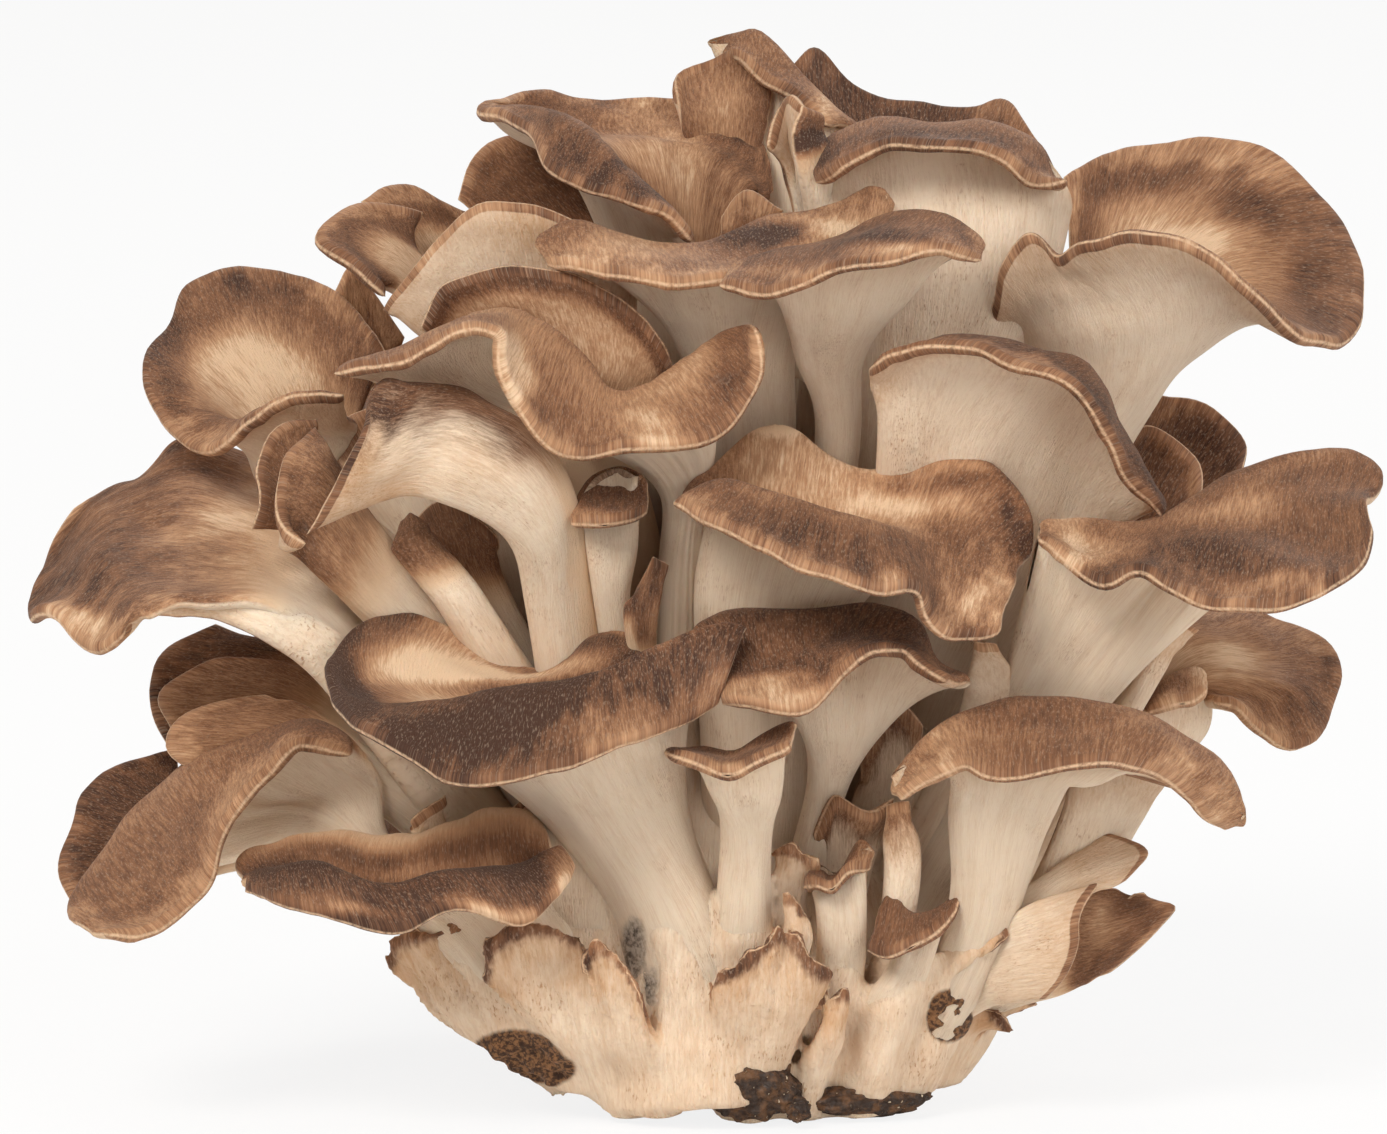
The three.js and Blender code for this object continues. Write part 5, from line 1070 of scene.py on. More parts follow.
def addLobe(bm, lobe, seed, look, rootShare=None):
    # one closed sheet: the grid's x runs round the section, its y from the foot to the rolled rim.
    # With a rootShare, only that much of its length is made, a little fuller, for the foot to grow over.
    rooted = rootShare is not None
    rows = [np.array(row, float) for row in lobe["rows"]]
    line = np.linspace(0, 1, 40)
    rimWidth = np.linalg.norm(np.diff(throughPoints(rows[-1], line), axis=0), axis=1).sum()
    length = np.linalg.norm(np.diff(middleSurface(rows, line * 0 + 0.5, line), axis=0), axis=1).sum()
    roundSteps, alongSteps = meshSteps(rimWidth, length, rooted)
    rollSteps = sheet["rollSteps"]
    allSteps = alongSteps + rollSteps + 1
    verts = bmesh.ops.create_grid(bm, x_segments=roundSteps, y_segments=allSteps, size=1)["verts"]
    grid = np.array([vert.co[:2] for vert in verts]) * 0.5 + 0.5
    turn = grid[:, 0]
    step = np.rint(grid[:, 1] * allSteps).astype(int)

    crowding, bias = sheet["rimCrowding"]
    v = np.clip((step - 1) / alongSteps, 0, 1)
    v = (1 - crowding) * v + crowding * (1 - (1 - v) ** bias)
    roll = np.clip(step - 1 - alongSteps, 0, rollSteps) / rollSteps * math.pi / 2
    if rooted:
        v = v * rootShare
    flat = smoothStep(*sheet["flattening"], v)
    roundAcross = -np.cos(turn * 2 * math.pi)
    evenAcross = 1 - 2 * np.abs(2 * turn - 1)
    across = roundAcross + sheet["evenness"] * flat * (evenAcross - roundAcross)
    u = 0.5 + 0.5 * across
    side = np.where(turn < 0.5, 1.0, -1.0)

    close = closeGrid(rows)
    middle = onGrid(close, u, v)
    acrossLine, alongLine, acrossSpan, alongSpan = slopes(close, u, v)
    order, shape = np.lexsort((turn, step)), (allSteps + 1, roundSteps + 1)
    normal = evened(unit(np.cross(acrossLine, alongLine)), order, shape, sheet["evening"])

    thickness = lobe["stout"] + (sheet["rim"] - lobe["stout"]) * smoothStep(*sheet["thinning"], v)
    footFlare = np.clip(1 - v / sheet["flareReach"], 0, 1) ** 2
    thickness = thickness * (1 + sheet["flare"] * footFlare)
    power = 2 + flat * rimWidth / sheet["rim"] * sheet["squareness"]
    section = np.sqrt(np.maximum(1 - np.abs(across) ** power, 0))
    closed = np.where(step == 0, 0.0, np.cos(roll))

    rimGap = (1 - v) * alongSpan
    joined = look.get("joined", (0, 0))
    sideAway = np.minimum(u + joined[0], 1 - u + joined[1]) * rimWidth
    sideGap = sideAway + sheet["sideAway"] * (1 - smoothStep(*sheet["sideStart"], v))
    margin = np.minimum(rimGap, sideGap)
    cap = smoothStep(*sheet["capStart"], v)
    place = np.stack([u * rimWidth, v * length], axis=1)

    bend = cap * ripples(middle, waves["bend"], seed)
    bend = bend + np.exp(-margin / waves["ruffleReach"]) * cap * ripples(middle, waves["ruffle"], seed + 2)
    pleats = cap * look.get("pleats", waves["pleatHeight"])
    ridges = pleats * ripple(place * waves["pleatDrawn"], waves["pleat"], seed + 4)
    narrowing = np.clip(acrossSpan / rimWidth, waves["leastNarrowing"], 1)
    flutes = (1 - cap) * narrowing * ripples(place * waves["fluteDrawn"], waves["flute"], seed + 5)
    outEdge = np.exp(-rimGap / waves["edgeReach"]) * cap * ripples(middle, waves["edge"], seed + 6)
    sideEdge = np.exp(-sideGap / waves["edgeReach"]) * cap * ripples(middle, waves["edge"], seed + 8)

    half = thickness / 2
    if rooted:
        half = half + sheet["rootSwell"] - sheet["rootTaper"] * (v / rootShare) ** 2
    under = lobe.get("under", 1)
    lower = under * flat * half  # rows lie on the top of a cap, so its sheet is below them
    reach = normal * (lower + side * section * closed * (half + ridges + flutes))[:, None]
    if not rooted:
        below = (side == under) & (v > sheet["apartFrom"])
        reach[below] = keptApart(close, middle[below], reach[below])
    shape = middle + reach + normal * bend[:, None]
    if not rooted:
        pullIn = half * smoothStep(*sheet["pullIn"], v)
        shape += unit(alongLine) * (outEdge + half * np.sin(roll) - pullIn)[:, None]
    spread = sideEdge + sheet["footSpread"] * footFlare * np.abs(across)
    shape += unit(acrossLine) * (np.sign(across) * spread)[:, None]

    world = toWorld(shape)
    world[:, 2] = np.maximum(world[:, 2], 0)
    for vert, point in zip(verts, world):
        vert.co = point

    band = np.interp(u, np.linspace(0, 1, len(look["band"])), look["band"])
    spill = np.exp(-((rimGap / look.get("tip", brownDefaults["tip"])) ** 1.5))
    if "spill" in look:
        spill = np.maximum(spill, smoothStep(*look["spill"], u + ripples(place, waves["spill"], seed + 10)))
    length, height = waves["touch"]
    sway = [ripple(middle, length, seed + 11), 0 * u, ripple(middle, length, seed + 12)]
    throat = look.get("throat", brownDefaults["throat"])
    same = np.ones(len(u))
    markVerts(bm, verts, {
        "top": -under * side * section * closed,
        "rimGap": margin,
        "bandGap": margin / band,
        "inner": look["inner"] * same,
        "cap": smoothStep(throat, throat + brownDefaults["throatLength"], v),
        "tone": look["tone"] * same,
        "touch": touched(shape + height * np.stack(sway, axis=1), look.get("touches", ())),
        "streaky": look.get("streaky", brownDefaults["streaky"]) * same,
        "streakX": place[:, 0] + streakShift * (seed % 17),
        "streakY": place[:, 1],
        "spill": spill,
        # painted shade deep in the crowd
        "deep": crowdShadeOf(shape),
        "mould": nearness(shape, mould),
    })


def smoothed(bm, rounds):
    axes = {"use_axis_x": True, "use_axis_y": True, "use_axis_z": True}
    for _ in range(rounds):
        bmesh.ops.smooth_vert(bm, verts=bm.verts, factor=0.5, **axes)


def finishPiece(bm, name, nodes, material, smoothing=0):
    bmesh.ops.remove_doubles(bm, verts=bm.verts, dist=nearEnough)
    smoothed(bm, smoothing)
    bmesh.ops.recalc_face_normals(bm, faces=bm.faces)
    mesh = bpy.data.meshes.new(name)
    bm.to_mesh(mesh)
    bm.free()
    mesh.shade_smooth()
    piece = bpy.data.objects.new(name, mesh)
    bpy.context.scene.collection.objects.link(piece)
    mesh.materials.append(material)
    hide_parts(*nodes)
    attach(piece, "root")


# materials


def linear(red, green, blue):
    # a colour picked as it looks on a screen, 0 to 255
    values = [value / 255 for value in (red, green, blue)]
    return tuple(v / 12.92 if v <= 0.04045 else ((v + 0.055) / 1.055) ** 2.4 for v in values) + (1.0,)


class Wiring:
    # short calls for placing and joining shader nodes
    def __init__(self, tree):
        self.tree = tree

    def add(self, kind, **settings):
        node = self.tree.nodes.new(kind)
        for key, value in settings.items():
            setattr(node, key, value)
        return node

    def join(self, source, target):
        self.tree.links.new(source, target)

    def put(self, socket, value):
        if hasattr(value, "is_output"):
            self.join(value, socket)
        else:
            socket.default_value = value

    def math(self, operation, a, b=0.0, clamp=False):
        node = self.add("ShaderNodeMath", operation=operation, use_clamp=clamp)
        self.put(node.inputs[0], a)
        self.put(node.inputs[1], b)
        return node.outputs[0]

    def mix(self, amount, a, b):
        node = self.add("ShaderNodeMix", data_type="RGBA")
        self.put(node.inputs["Factor"], amount)
        self.put(node.inputs["A"], a)
        self.put(node.inputs["B"], b)
        return node.outputs["Result"]

    def ramp(self, value, low, high, toLow=0.0, toHigh=1.0):
        node = self.add("ShaderNodeMapRange", interpolation_type="SMOOTHSTEP")
        self.put(node.inputs["Value"], value)
        for key, number in (("From Min", low), ("From Max", high), ("To Min", toLow), ("To Max", toHigh)):
            self.put(node.inputs[key], number)
        return node.outputs["Result"]

    def sum(self, first, *rest):
        total = first
        for value in rest:
            total = self.math("ADD", total, value)
        return total

    def swing(self, value, amount):
        # a noise about its middle
        return self.math("MULTIPLY", self.math("SUBTRACT", value, 0.5), amount)

    def stirred(self, value, noises, amounts):
        # a value moved about by noises, each by its own amount
        for name, amount in amounts.items():
            value = self.math("ADD", value, self.swing(noises[name], amount))
        return value

    def blend(self, amount, a, b):
        node = self.add("ShaderNodeMix", data_type="FLOAT")
        self.put(node.inputs["Factor"], amount)
        self.put(node.inputs["A"], a)
        self.put(node.inputs["B"], b)
        return node.outputs["Result"]

    def colours(self, value, stops):
        node = self.add("ShaderNodeValToRGB")
        self.join(value, node.inputs["Fac"])
        ramp = node.color_ramp
        while len(ramp.elements) < len(stops):
            ramp.elements.new(0.5)
        for element, (position, colour) in zip(ramp.elements, stops):
            element.position = position
            element.color = colour
        return node.outputs["Color"]

    def noise(self, vector, scale, detail=3.0, roughness=0.55):
        node = self.add("ShaderNodeTexNoise")
        self.join(vector, node.inputs["Vector"])
        self.put(node.inputs["Scale"], scale)
        self.put(node.inputs["Detail"], detail)
        self.put(node.inputs["Roughness"], roughness)
        return node.outputs["Fac"]

    def attribute(self, name):
        return self.add("ShaderNodeAttribute", attribute_name=name).outputs["Fac"]

    def vector(self, x, y, z=0.0):
        node = self.add("ShaderNodeCombineXYZ")
        for socket, value in zip(node.inputs, (x, y, z)):
            self.put(socket, value)
        return node.outputs[0]


fleshLook = {
    "top": [  # from the pale throat to the darkest band
        (0.0, linear(232, 200, 166)), (0.3, linear(188, 144, 108)), (0.6, linear(134, 92, 64)),
        (0.95, linear(70, 43, 29)),
    ],
    "rimPale": linear(226, 192, 158),
    "fleck": linear(214, 190, 166),
    "underCream": linear(238, 218, 194),
    "underTan": linear(198, 156, 117),
    "stain": linear(170, 116, 70),
    # painted shade: the dark brown that flesh deep in the crowd and in the foot's creases is mixed towards
    "deep": linear(122, 80, 50),
    "scarDark": linear(66, 43, 28),
    "scarBrown": linear(138, 98, 64),
    "mouldDark": linear(62, 50, 42),
    "mouldGrey": linear(166, 154, 142),
    "paintedShadeStrength": 0.85,
    "underTouch": 0.8,
    "staining": 0.75,
    "gritRelief": 0.8,
    "fleckRelief": 0.7,
    "specular": 0.3,
    "sheen": 0.06,
    "subsurface": 0.18,
    "subsurfaceRadius": (1.0, 0.55, 0.3),
    "subsurfaceScale": 0.0022,
    "bumpStrength": 0.6,
    "bumpDistance": 0.0002,
}

# Noises of the flesh: scale, detail and roughness.
fleshNoises = {"cloud": (34.0, 2.0, 0.5), "blotch": (130.0, 4.0, 0.6), "grit": (1500.0, 2.0, 0.6)}

# How far each noise moves a value about.
fleshStir = {
    "band": {"cloud": 1.2, "broad": 0.2, "blotch": 0.3},
    "bandRim": {"cloud": 0.8},
    "brown": {"cloud": 0.35, "blotch": 0.28, "fine": 0.3},
    "underRim": {"broad": 3.0},
    "under": {"fine": 0.36, "blotch": 0.4, "broad": 0.2},
    "spill": {"broad": 0.2, "fine": 0.2},
    "upper": {"blotch": 0.3},
    "scar": {"blotch": 0.7},
    "mould": {"blotch": 2.0},
}

# Where each change starts and ends; two more numbers say what it goes from and to, if not 0 to 1.
fleshRanges = {
    "inside": (0.45, 1.75),
    "nearRim": (-0.1, 0.2, 0.72, 1.0),
    "throat": (0.2, 0.85),
    "flecks": (0.2, 0.7, 0.06, 0.26),
    "underRim": (0.0, 15.0, 0.6, 0.08),
    "stains": (0.5, 0.68),
    "spill": (0.05, 0.95),
    "upper": (-0.2, 0.25),
    "stalkTop": (0.05, 0.35),
    "edgeOn": (0.05, 0.4, 1.0, 0.0),
    "edgeWidth": (0.0, 1.0, 1.0, 0.0),
    "edgeGrit": (0.3, 0.6, 0.3, 0.95),
    "scarGrit": (0.4, 0.62),
    "scar": (0.15, 0.5),
    "mouldGrit": (0.35, 0.65),
    "mould": (0.2, 1.3),
    "roughness": (0.3, 0.7, 0.54, 0.74),
}

# Each kind of streak: how its pattern is drawn out across and along, its noise, and its range.
streakKinds = {
    "Fine": ((1.0, 0.11), (2.1, 3.0, 0.75), (0.3, 0.7)),
    "Broad": ((0.3, 0.06), (1.0, 2.0, 0.5), (0.3, 0.7)),
    "Fleck": ((1.0, 0.22), (4.2, 2.0, 0.6), (0.53, 0.68)),
}


def streakGroup():
    # fibres that run from the foot to the rim: fine lines, broad bands and short flecks
    group = bpy.data.node_groups.new("fibre streaks", "ShaderNodeTree")
    for name in ("Across", "Along"):
        group.interface.new_socket(name, in_out="INPUT", socket_type="NodeSocketFloat")
    for name in streakKinds:
        group.interface.new_socket(name, in_out="OUTPUT", socket_type="NodeSocketFloat")
    wire = Wiring(group)
    given = wire.add("NodeGroupInput")
    result = wire.add("NodeGroupOutput")
    for name, ((across, along), noise, ends) in streakKinds.items():
        x = wire.math("MULTIPLY", given.outputs["Across"], across)
        y = wire.math("MULTIPLY", given.outputs["Along"], along)
        wire.join(wire.ramp(wire.noise(wire.vector(x, y), *noise), *ends), result.inputs[name])
    return group


fibreStreaks = streakGroup()


def fleshMaterial():
    material = bpy.data.materials.new("mushroom flesh")
    material.use_nodes = True
    tree = material.node_tree
    tree.nodes.clear()
    wire = Wiring(tree)
    output = wire.add("ShaderNodeOutputMaterial")
    skin = wire.add("ShaderNodeBsdfPrincipled")
    wire.join(skin.outputs["BSDF"], output.inputs["Surface"])
    look, stir, ranges = fleshLook, fleshStir, fleshRanges

    coords = wire.add("ShaderNodeTexCoord").outputs["Object"]
    top, rimGap = wire.attribute("top"), wire.attribute("rimGap")
    streaks = wire.add("ShaderNodeGroup", node_tree=fibreStreaks)
    wire.join(wire.attribute("streakX"), streaks.inputs["Across"])
    wire.join(wire.attribute("streakY"), streaks.inputs["Along"])
    fine, broad, fleck = (streaks.outputs[name] for name in streakKinds)
    noises = {name: wire.noise(coords, *values) for name, values in fleshNoises.items()}
    noises.update({"fine": fine, "broad": broad})
    blotch, grit = noises["blotch"], noises["grit"]

    # brown top: a dark band a little way in from the rim, paler towards the throat
    place = wire.stirred(wire.attribute("bandGap"), noises, stir["band"])
    inside = wire.ramp(place, *ranges["inside"])
    nearRim = wire.ramp(wire.stirred(place, noises, stir["bandRim"]), *ranges["nearRim"])
    band = wire.math("MULTIPLY", wire.attribute("tone"), nearRim)
    brown = wire.blend(inside, band, wire.attribute("inner"))
    brown = wire.stirred(wire.math("ADD", brown, wire.attribute("touch")), noises, stir["brown"])
    brown = wire.math("ADD", brown, wire.swing(broad, wire.attribute("streaky")))
    throat = wire.ramp(wire.attribute("cap"), *ranges["throat"])
    brown = wire.math("MULTIPLY", brown, throat, clamp=True)
    topColour = wire.colours(brown, look["top"])
    flecked = wire.math("MULTIPLY", fleck, wire.ramp(brown, *ranges["flecks"]))
    topColour = wire.mix(flecked, topColour, look["fleck"])

    # cream underside, tanner near the rim, with fine lines down to the stalk
    under = wire.ramp(wire.stirred(rimGap, noises, stir["underRim"]), *ranges["underRim"])
    touch = wire.math("MULTIPLY", wire.attribute("touch"), look["underTouch"])
    under = wire.math("ADD", wire.stirred(under, noises, stir["under"]), touch, clamp=True)
    underColour = wire.mix(under, look["underCream"], look["underTan"])
    stained = wire.math("MULTIPLY", wire.ramp(blotch, *ranges["stains"]), fleck)
    stained = wire.math("MULTIPLY", stained, look["staining"])
    underColour = wire.mix(stained, underColour, look["stain"])

    # brown where the top faces, and where it runs over the rim; the edge itself is pale
    spill = wire.ramp(wire.stirred(wire.attribute("spill"), noises, stir["spill"]), *ranges["spill"])
    upper = wire.ramp(wire.stirred(top, noises, stir["upper"]), *ranges["upper"])
    upper = wire.math("MULTIPLY", upper, wire.ramp(wire.attribute("cap"), *ranges["stalkTop"]))
    colour = wire.mix(wire.math("MAXIMUM", upper, spill), underColour, topColour)
    edgeOn = wire.ramp(wire.math("ABSOLUTE", top), *ranges["edgeOn"])
    edge = wire.math("MULTIPLY", edgeOn, wire.ramp(rimGap, *ranges["edgeWidth"]))
    edge = wire.math("MULTIPLY", edge, wire.ramp(grit, *ranges["edgeGrit"]))
    colour = wire.mix(edge, colour, look["rimPale"])
    # painted shade: flesh deep in the crowd and in the foot's creases is mixed towards dark brown
    paintedShadeAmount = wire.math("MULTIPLY", wire.attribute("deep"), look["paintedShadeStrength"])
    colour = wire.mix(paintedShadeAmount, colour, look["deep"])

    # scars where neighbours broke off, and a dark mouldy cleft
    scarColour = wire.mix(wire.ramp(grit, *ranges["scarGrit"]), look["scarDark"], look["scarBrown"])
    scarred = wire.ramp(wire.stirred(wire.attribute("scar"), noises, stir["scar"]), *ranges["scar"])
    colour = wire.mix(scarred, colour, scarColour)
    mouldColour = wire.mix(wire.ramp(grit, *ranges["mouldGrit"]), look["mouldDark"], look["mouldGrey"])
    mouldy = wire.ramp(wire.stirred(wire.attribute("mould"), noises, stir["mould"]), *ranges["mould"])
    colour = wire.mix(mouldy, colour, mouldColour)
    wire.join(colour, skin.inputs["Base Color"])

    wire.join(wire.ramp(blotch, *ranges["roughness"]), skin.inputs["Roughness"])
    skin.inputs["Specular IOR Level"].default_value = look["specular"]
    skin.inputs["Sheen Weight"].default_value = look["sheen"]
    skin.inputs["Subsurface Weight"].default_value = look["subsurface"]
    skin.inputs["Subsurface Radius"].default_value = look["subsurfaceRadius"]
    skin.inputs["Subsurface Scale"].default_value = look["subsurfaceScale"]

    gritRelief = wire.math("MULTIPLY", grit, look["gritRelief"])
    fleckRelief = wire.math("MULTIPLY", fleck, look["fleckRelief"])
    bump = wire.add("ShaderNodeBump")
    bump.inputs["Strength"].default_value = look["bumpStrength"]
    bump.inputs["Distance"].default_value = look["bumpDistance"]
    wire.join(wire.sum(fine, gritRelief, fleckRelief), bump.inputs["Height"])
    wire.join(bump.outputs["Normal"], skin.inputs["Normal"])
    return material


blockLook = {
    "dark": linear(46, 30, 20),
    "brown": linear(104, 72, 46),
    "pale": linear(200, 184, 160),
    "grain": (520.0, 4.0, 0.65),
    "chips": (1400.0, 2.0, 0.5),
    "browning": (0.4, 0.65),
    "paleChips": (0.68, 0.74),
    "roughness": (0.3, 0.7, 0.45, 0.95),
    "bumpStrength": 0.8,
    "bumpDistance": 0.0008,
}


def blockMaterial():
    material = bpy.data.materials.new("growing block")
    material.use_nodes = True
    tree = material.node_tree
    wire = Wiring(tree)
    skin = tree.nodes["Principled BSDF"]
    coords = wire.add("ShaderNodeTexCoord").outputs["Object"]
    look = blockLook
    grain, chips = wire.noise(coords, *look["grain"]), wire.noise(coords, *look["chips"])
    colour = wire.mix(wire.ramp(grain, *look["browning"]), look["dark"], look["brown"])
    colour = wire.mix(wire.ramp(chips, *look["paleChips"]), colour, look["pale"])
    wire.join(colour, skin.inputs["Base Color"])
    wire.join(wire.ramp(chips, *look["roughness"]), skin.inputs["Roughness"])
    bump = wire.add("ShaderNodeBump")
    bump.inputs["Strength"].default_value = look["bumpStrength"]
    bump.inputs["Distance"].default_value = look["bumpDistance"]
    wire.join(grain, bump.inputs["Height"])
    wire.join(bump.outputs["Normal"], skin.inputs["Normal"])
    return material


flesh = fleshMaterial()
block = blockMaterial()

# fronds

allLobes = lobes + [
    {"node": entry[0], "stout": plainFrond["stout"], "rows": backRows(*entry[1:])} for entry in backFronds
]
nodeNames = list(dict.fromkeys(lobe["node"] for lobe in allLobes))
# each lobe with its node's name and the seed of its waves
seededLobes = [
    (nodeName, lobe, 100 * number + 31 * k + 7)
    for number, nodeName in enumerate(nodeNames)
    for k, lobe in enumerate(lobe for lobe in allLobes if lobe["node"] == nodeName)
]
for nodeName in nodeNames:
    bm = startPiece()
    for owner, lobe, seed in seededLobes:
        if owner == nodeName:
            addLobe(bm, lobe, seed, looks.get(nodeName, looks["plain"]))
    finishPiece(bm, nodeName.replace("_", "-"), [nodeName], flesh, sheet["smoothing"])
print("fronds made:", len(nodeNames))

# foot

foot = {
    "profile": [  # radius and height
        (0, -14), (18, -10), (26, 4), (32, 10), (36, 16), (38, 24),
        (32, 36), (23, 48), (16, 70), (9, 92), (0, 100),
    ],
    "steps": 70,  # steps up the profile and round it
    "turns": 90,
    "weld": 0.02,
    "centre": (4, 0, 0),
    "depth": 0.95,
    "swells": [(22, 1.6, 0.3), (9, 0.7, 0.15)],  # wavelength, height, and pace upwards
    "coreSeed": 5,
    "heart": (2, -16, 2),  # stalks this near to the heart have grown into one mass
    "reach": 44,
    "rootShare": (0.12, 0.5),  # least and most of a lobe's length that the foot grows over
    "voxel": 0.8,
    "evening": 7,
    "creaseShade": (0.1, 0.7),  # painted shade: hollows filled this far by the evening, in millimetres, are coloured browner
    "creaseShadeStrength": 0.8,
    "rimGap": 60,  # far from any rim, so it stays cream
    "streakRadius": 32,
    "streaky": 0.2,
    "lowBrown": 0.3,  # how much browner it is near the cut face
    "lowHeights": (22, 42),  # heights between which that brown ends
    "scars": [  # middle and half sizes
        ((-24, -36, 9.5), (8, 8, 4.8)),
        ((37.5, -34, 16), (3.4, 7, 4.4)),
    ],
    # fine relief: wavelength and height
    "fibres": ((2.6, 0.5),),
    "fibresDrawn": (0.5, 0.08),
    "skin": ((5, 0.2),),
    "scarRelief": ((4, 0.6), (1.8, 0.4)),
    "scarHeight": 0.3,
    "mouldRelief": ((1.8, 0.4),),
    "mouldDepth": 1.2,
    "reliefSeed": 77,
    "cutFace": 1e-5,  # in metres: what is lower than this is the flat cut face
    "lobeSeed": 9000,
}


def coreShape(bm):
    profile = np.array([(radius, 0, height) for radius, height in foot["profile"]], float)
    line = throughPoints(profile, np.linspace(0, 1, foot["steps"]))
    last = None
    for point in line:
        vert = bm.verts.new((max(point[0], 0), 0, point[2]))
        if last:
            bm.edges.new((last, vert))
        last = vert
    bmesh.ops.spin(
        bm, geom=bm.verts[:] + bm.edges[:], cent=(0, 0, 0), axis=(0, 0, 1), angle=math.tau,
        steps=foot["turns"], use_merge=True,
    )
    bmesh.ops.remove_doubles(bm, verts=bm.verts, dist=foot["weld"])
    bmesh.ops.recalc_face_normals(bm, faces=bm.faces)
    points = np.array([vert.co for vert in bm.verts])
    outward = unit(points * [1, 1, 0])
    swell = np.zeros(len(points))
    for k, (wavelength, height, drawn) in enumerate(foot["swells"]):
        swell += height * ripple(points * [1, 1, drawn], wavelength, foot["coreSeed"] + k)
    points = (points + outward * swell[:, None]) * [1, foot["depth"], 1] + np.array(foot["centre"])
    for vert, point in zip(bm.verts, toWorld(points)):
        vert.co = point
    angle = np.arctan2(points[:, 1], points[:, 0] - foot["centre"][0])
    flat = np.ones(len(points))
    markVerts(bm, bm.verts, {
        "top": -flat,
        "rimGap": foot["rimGap"] * flat,
        "streakX": foot["streakRadius"] * angle,
        "streakY": points[:, 2],
    })


def rootShareOf(lobe):
    # how much of a lobe's length the foot has grown over
    rows = [np.array(row, float) for row in lobe["rows"]]
    line = np.linspace(0, 1, 60)
    away = np.linalg.norm(middleSurface(rows, line * 0 + 0.5, line) - np.array(foot["heart"]), axis=1)
    beyond = line[away > foot["reach"]]
    least, most = foot["rootShare"]
    return float(np.clip(beyond[0], least, most)) if len(beyond) else most


def remeshed(bm):
    # grows overlapping shapes together into one skin
    mesh = bpy.data.meshes.new("growing together")
    bm.to_mesh(mesh)
    shape = bpy.data.objects.new("growing together", mesh)
    bpy.context.scene.collection.objects.link(shape)
    remesh = shape.modifiers.new("remesh", "REMESH")
    remesh.mode = "VOXEL"
    remesh.voxel_size = foot["voxel"] * stance["metre"]
    evaluated = shape.evaluated_get(bpy.context.evaluated_depsgraph_get())
    skin = startPiece()
    skin.from_mesh(bpy.data.meshes.new_from_object(evaluated))
    bpy.data.objects.remove(shape)
    return skin


def makeFoot():
    rough = startPiece()
    coreShape(rough)
    for k, lobe in enumerate(footLobes):
        addLobe(rough, lobe, foot["lobeSeed"] + 31 * k, looks["foot"])
    for _, lobe, seed in seededLobes:
        addLobe(rough, lobe, seed, looks["foot"], rootShareOf(lobe))
    bmesh.ops.remove_doubles(rough, verts=rough.verts, dist=nearEnough)
    tree = KDTree(len(rough.verts))
    for number, vert in enumerate(rough.verts):
        tree.insert(vert.co, number)
    tree.balance()
    roughMarks = readMarks(rough)

    bm = remeshed(rough)
    rough.free()
    uneven = np.array([vert.co for vert in bm.verts])
    smoothed(bm, foot["evening"])
    bm.normal_update()
    # painted shade: how far the evening fills each hollow of the foot
    settled = np.array([vert.co for vert in bm.verts]) - uneven
    filled = (settled * np.array([vert.normal for vert in bm.verts])).sum(axis=1) / stance["metre"]
    creaseShadeLayer = bm.verts.layers.float.new("creaseShade")
    for vert, amount in zip(bm.verts, smoothStep(*foot["creaseShade"], filled)):
        vert[creaseShadeLayer] = float(amount)
    cut = bmesh.ops.bisect_plane(
        bm, geom=bm.verts[:] + bm.edges[:] + bm.faces[:], dist=1e-7, plane_co=(0, 0, 0), plane_no=(0, 0, 1),
        clear_inner=True,
    )
    rim = [item for item in cut["geom_cut"] if isinstance(item, bmesh.types.BMEdge)]
    bmesh.ops.holes_fill(bm, edges=rim, sides=0)
    bm.normal_update()

    marks = roughMarks[[tree.find(vert.co)[1] for vert in bm.verts]]
    columns = {name: marks[:, k] for k, name in enumerate(surfaceMarks)}
    points = toGrowth([vert.co for vert in bm.verts])
    columns["scar"] = nearness(points, foot["scars"])
    columns["mould"] = nearness(points, mould)
    creaseShade = np.array([vert[bm.verts.layers.float["creaseShade"]] for vert in bm.verts])
    # painted shade deep in the crowd and in the creases of the foot
    columns["deep"] = np.maximum(crowdShadeOf(points), foot["creaseShadeStrength"] * creaseShade)
    lowness = 1 - smoothStep(*foot["lowHeights"], points[:, 2])
    columns["touch"] = columns["touch"] + foot["lowBrown"] * lowness
    place = np.stack([columns["streakX"], columns["streakY"]], axis=1) * foot["fibresDrawn"]
    angle = np.arctan2(points[:, 1] - foot["centre"][1], points[:, 0] - foot["centre"][0])
    columns["streakX"] = foot["streakRadius"] * angle
    columns["streakY"] = points[:, 2]
    columns["streaky"] = np.full(len(points), foot["streaky"])

    seed = foot["reliefSeed"]
    lift = columns["cap"] * ripples(place, foot["fibres"], seed) + ripples(points, foot["skin"], seed + 1)
    lift += columns["scar"] * (ripples(points, foot["scarRelief"], seed + 2) + foot["scarHeight"])
    lift += columns["mould"] * (ripples(points, foot["mouldRelief"], seed + 4) - foot["mouldDepth"])
    for vert, amount in zip(bm.verts, lift):
        if vert.co.z > foot["cutFace"]:
            vert.co += vert.normal * float(amount) * stance["metre"]
            vert.co.z = max(vert.co.z, foot["cutFace"])
    markVerts(bm, bm.verts, columns)
    finishPiece(bm, "foot-flesh", ["foot"], flesh)


makeFoot()
print("foot made")

# crumbs of the growing block

crumbGrain = ((1.2, 0.10), (0.5, 0.07), (0.22, 0.04))  # wavelength and height, for a crumb of radius 1
crumbs = [
    {"node": "crumb_front", "middle": (9, -41, 5.2), "half": (6.4, 4.5, 5), "turn": 0.2, "seed": 500},
    {"node": "crumb_side", "middle": (25, -35.5, 3), "half": (9.5, 4, 2.4), "turn": 0.25, "seed": 510},
    {"node": "crumb_small", "middle": (15.5, -43, 1.8), "half": (2, 1.8, 1.8), "turn": 1.1, "seed": 520},
]


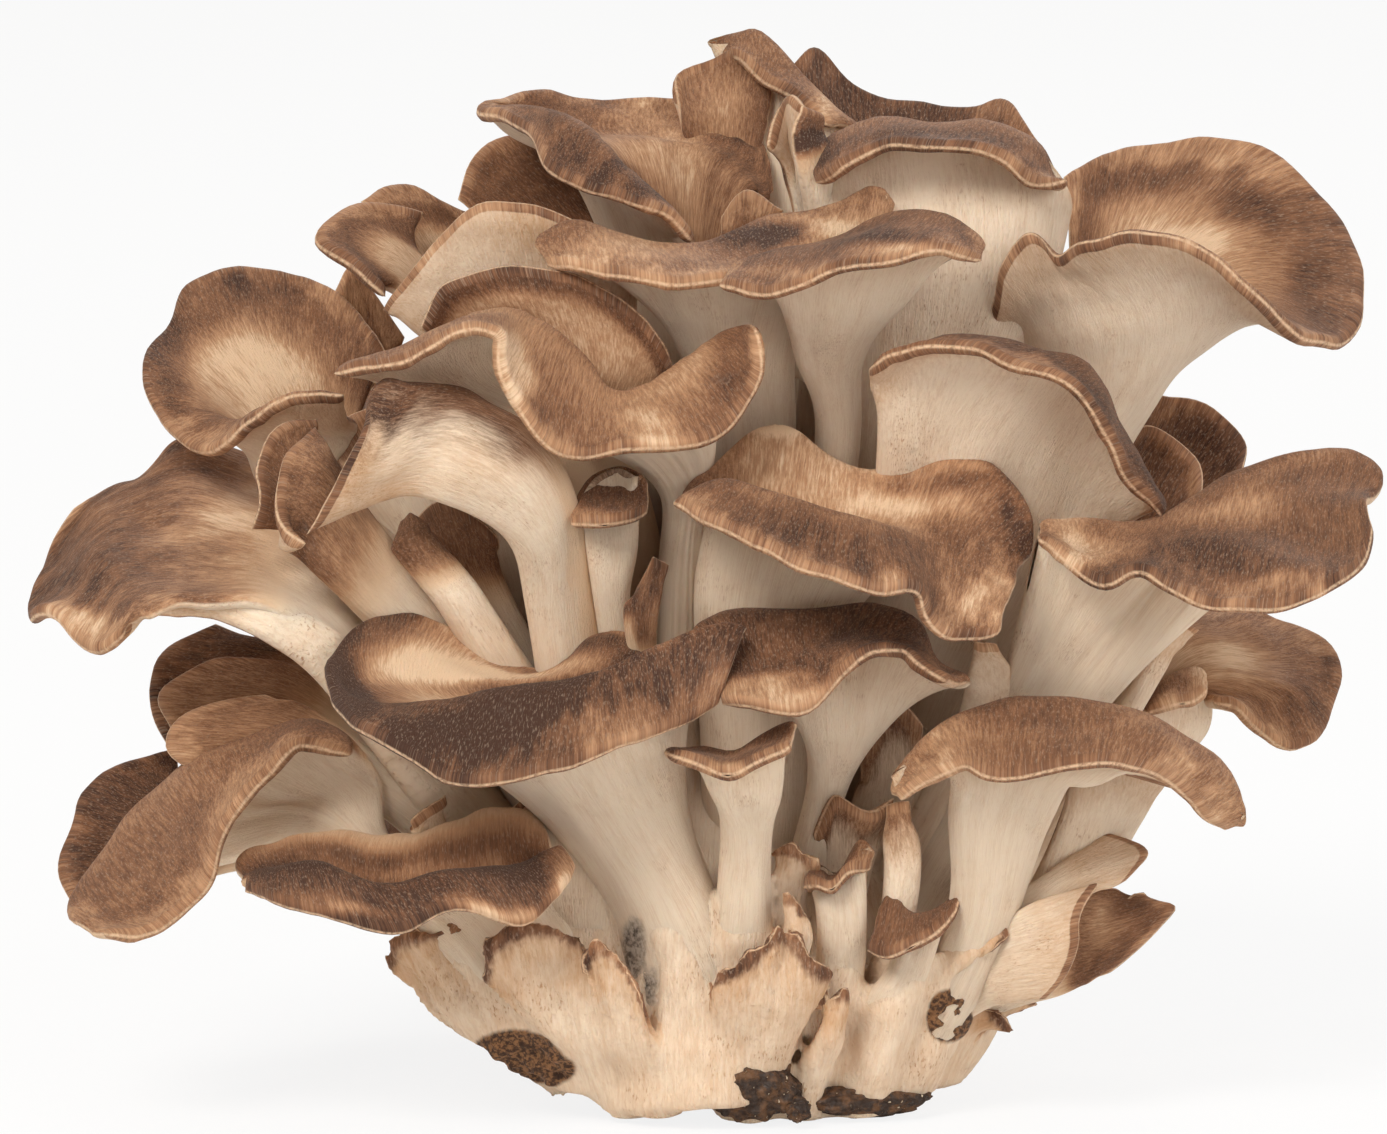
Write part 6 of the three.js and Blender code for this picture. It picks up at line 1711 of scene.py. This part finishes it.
def makeCrumb(crumb):
    bm = bmesh.new()
    bmesh.ops.create_icosphere(bm, subdivisions=5, radius=1)
    points = np.array([vert.co for vert in bm.verts])
    points = points * (1 + ripples(points, crumbGrain, crumb["seed"]))[:, None] * crumb["half"]
    turn = Matrix.Rotation(crumb["turn"], 3, "Z")
    points = points @ np.array(turn).T + np.array(crumb["middle"])
    world = toWorld(points)
    world[:, 2] = np.maximum(world[:, 2], 0.0)
    for vert, point in zip(bm.verts, world):
        vert.co = point
    finishPiece(bm, crumb["node"].replace("_", "-"), [crumb["node"]], block)


for crumb in crumbs:
    makeCrumb(crumb)
print("crumbs made")

# floor and light

studio = {
    "floor": 6.0,
    "floorColour": (0.9, 0.9, 0.9, 1),
    "floorRoughness": 0.9,
    "floorGlow": 0.85,
    "aim": (0, 0, 0.08),
    "world": 0.46,
    "worldColour": (1, 0.98, 0.95, 1),
    "lamps": [  # place, size, power and colour
        ("key", (-0.7, -1.1, 1.25), 0.7, 20.0, (1, 0.96, 0.9)),
        ("fill", (1.1, -0.9, 0.6), 1.0, 7.5, (1, 0.97, 0.94)),
        ("back", (0.3, 1.2, 1.2), 0.8, 6.0, (1, 0.98, 0.95)),
    ],
}


def makeFloor():
    bpy.ops.mesh.primitive_plane_add(size=studio["floor"])
    floor = bpy.context.object
    floor.name = "floor"
    material = bpy.data.materials.new("floor")
    material.use_nodes = True
    tree = material.node_tree
    wire = Wiring(tree)
    paint = tree.nodes["Principled BSDF"]
    paint.inputs["Base Color"].default_value = studio["floorColour"]
    paint.inputs["Roughness"].default_value = studio["floorRoughness"]
    glow = wire.add("ShaderNodeEmission")
    direct = wire.add("ShaderNodeLightPath").outputs["Is Camera Ray"]
    seen = wire.math("MULTIPLY", direct, studio["floorGlow"])
    blend = wire.add("ShaderNodeMixShader")
    wire.join(seen, blend.inputs["Fac"])
    wire.join(paint.outputs[0], blend.inputs[1])
    wire.join(glow.outputs[0], blend.inputs[2])
    wire.join(blend.outputs[0], tree.nodes["Material Output"].inputs["Surface"])
    floor.data.materials.append(material)
    floor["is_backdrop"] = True


def makeLamp(name, place, size, power, colour):
    data = bpy.data.lights.new(name, "AREA")
    data.size = size
    data.energy = power
    data.color = colour
    lamp = bpy.data.objects.new(name, data)
    bpy.context.scene.collection.objects.link(lamp)
    lamp.location = place
    aim = Vector(studio["aim"]) - Vector(place)
    lamp.rotation_euler = aim.to_track_quat("-Z", "Y").to_euler()


def makeWorld():
    world = bpy.data.worlds.new("studio")
    bpy.context.scene.world = world
    world.use_nodes = True
    tree = world.node_tree
    wire = Wiring(tree)
    soft = tree.nodes["Background"]
    soft.inputs["Color"].default_value = studio["worldColour"]
    soft.inputs["Strength"].default_value = studio["world"]
    white = wire.add("ShaderNodeBackground")
    white.inputs["Strength"].default_value = 1.0
    seen = wire.add("ShaderNodeLightPath")
    blend = wire.add("ShaderNodeMixShader")
    wire.join(seen.outputs["Is Camera Ray"], blend.inputs["Fac"])
    wire.join(soft.outputs[0], blend.inputs[1])
    wire.join(white.outputs[0], blend.inputs[2])
    wire.join(blend.outputs[0], tree.nodes["World Output"].inputs["Surface"])


makeFloor()
for lamp in studio["lamps"]:
    makeLamp(*lamp)
makeWorld()
bpy.context.scene.view_settings.view_transform = "Standard"
print("floor and light made")

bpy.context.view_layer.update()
triangles = 0
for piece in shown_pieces():
    if piece.type == "MESH":
        triangles += len(piece.data.loop_triangles) or len(piece.data.polygons) * 2
print("triangles:", triangles)
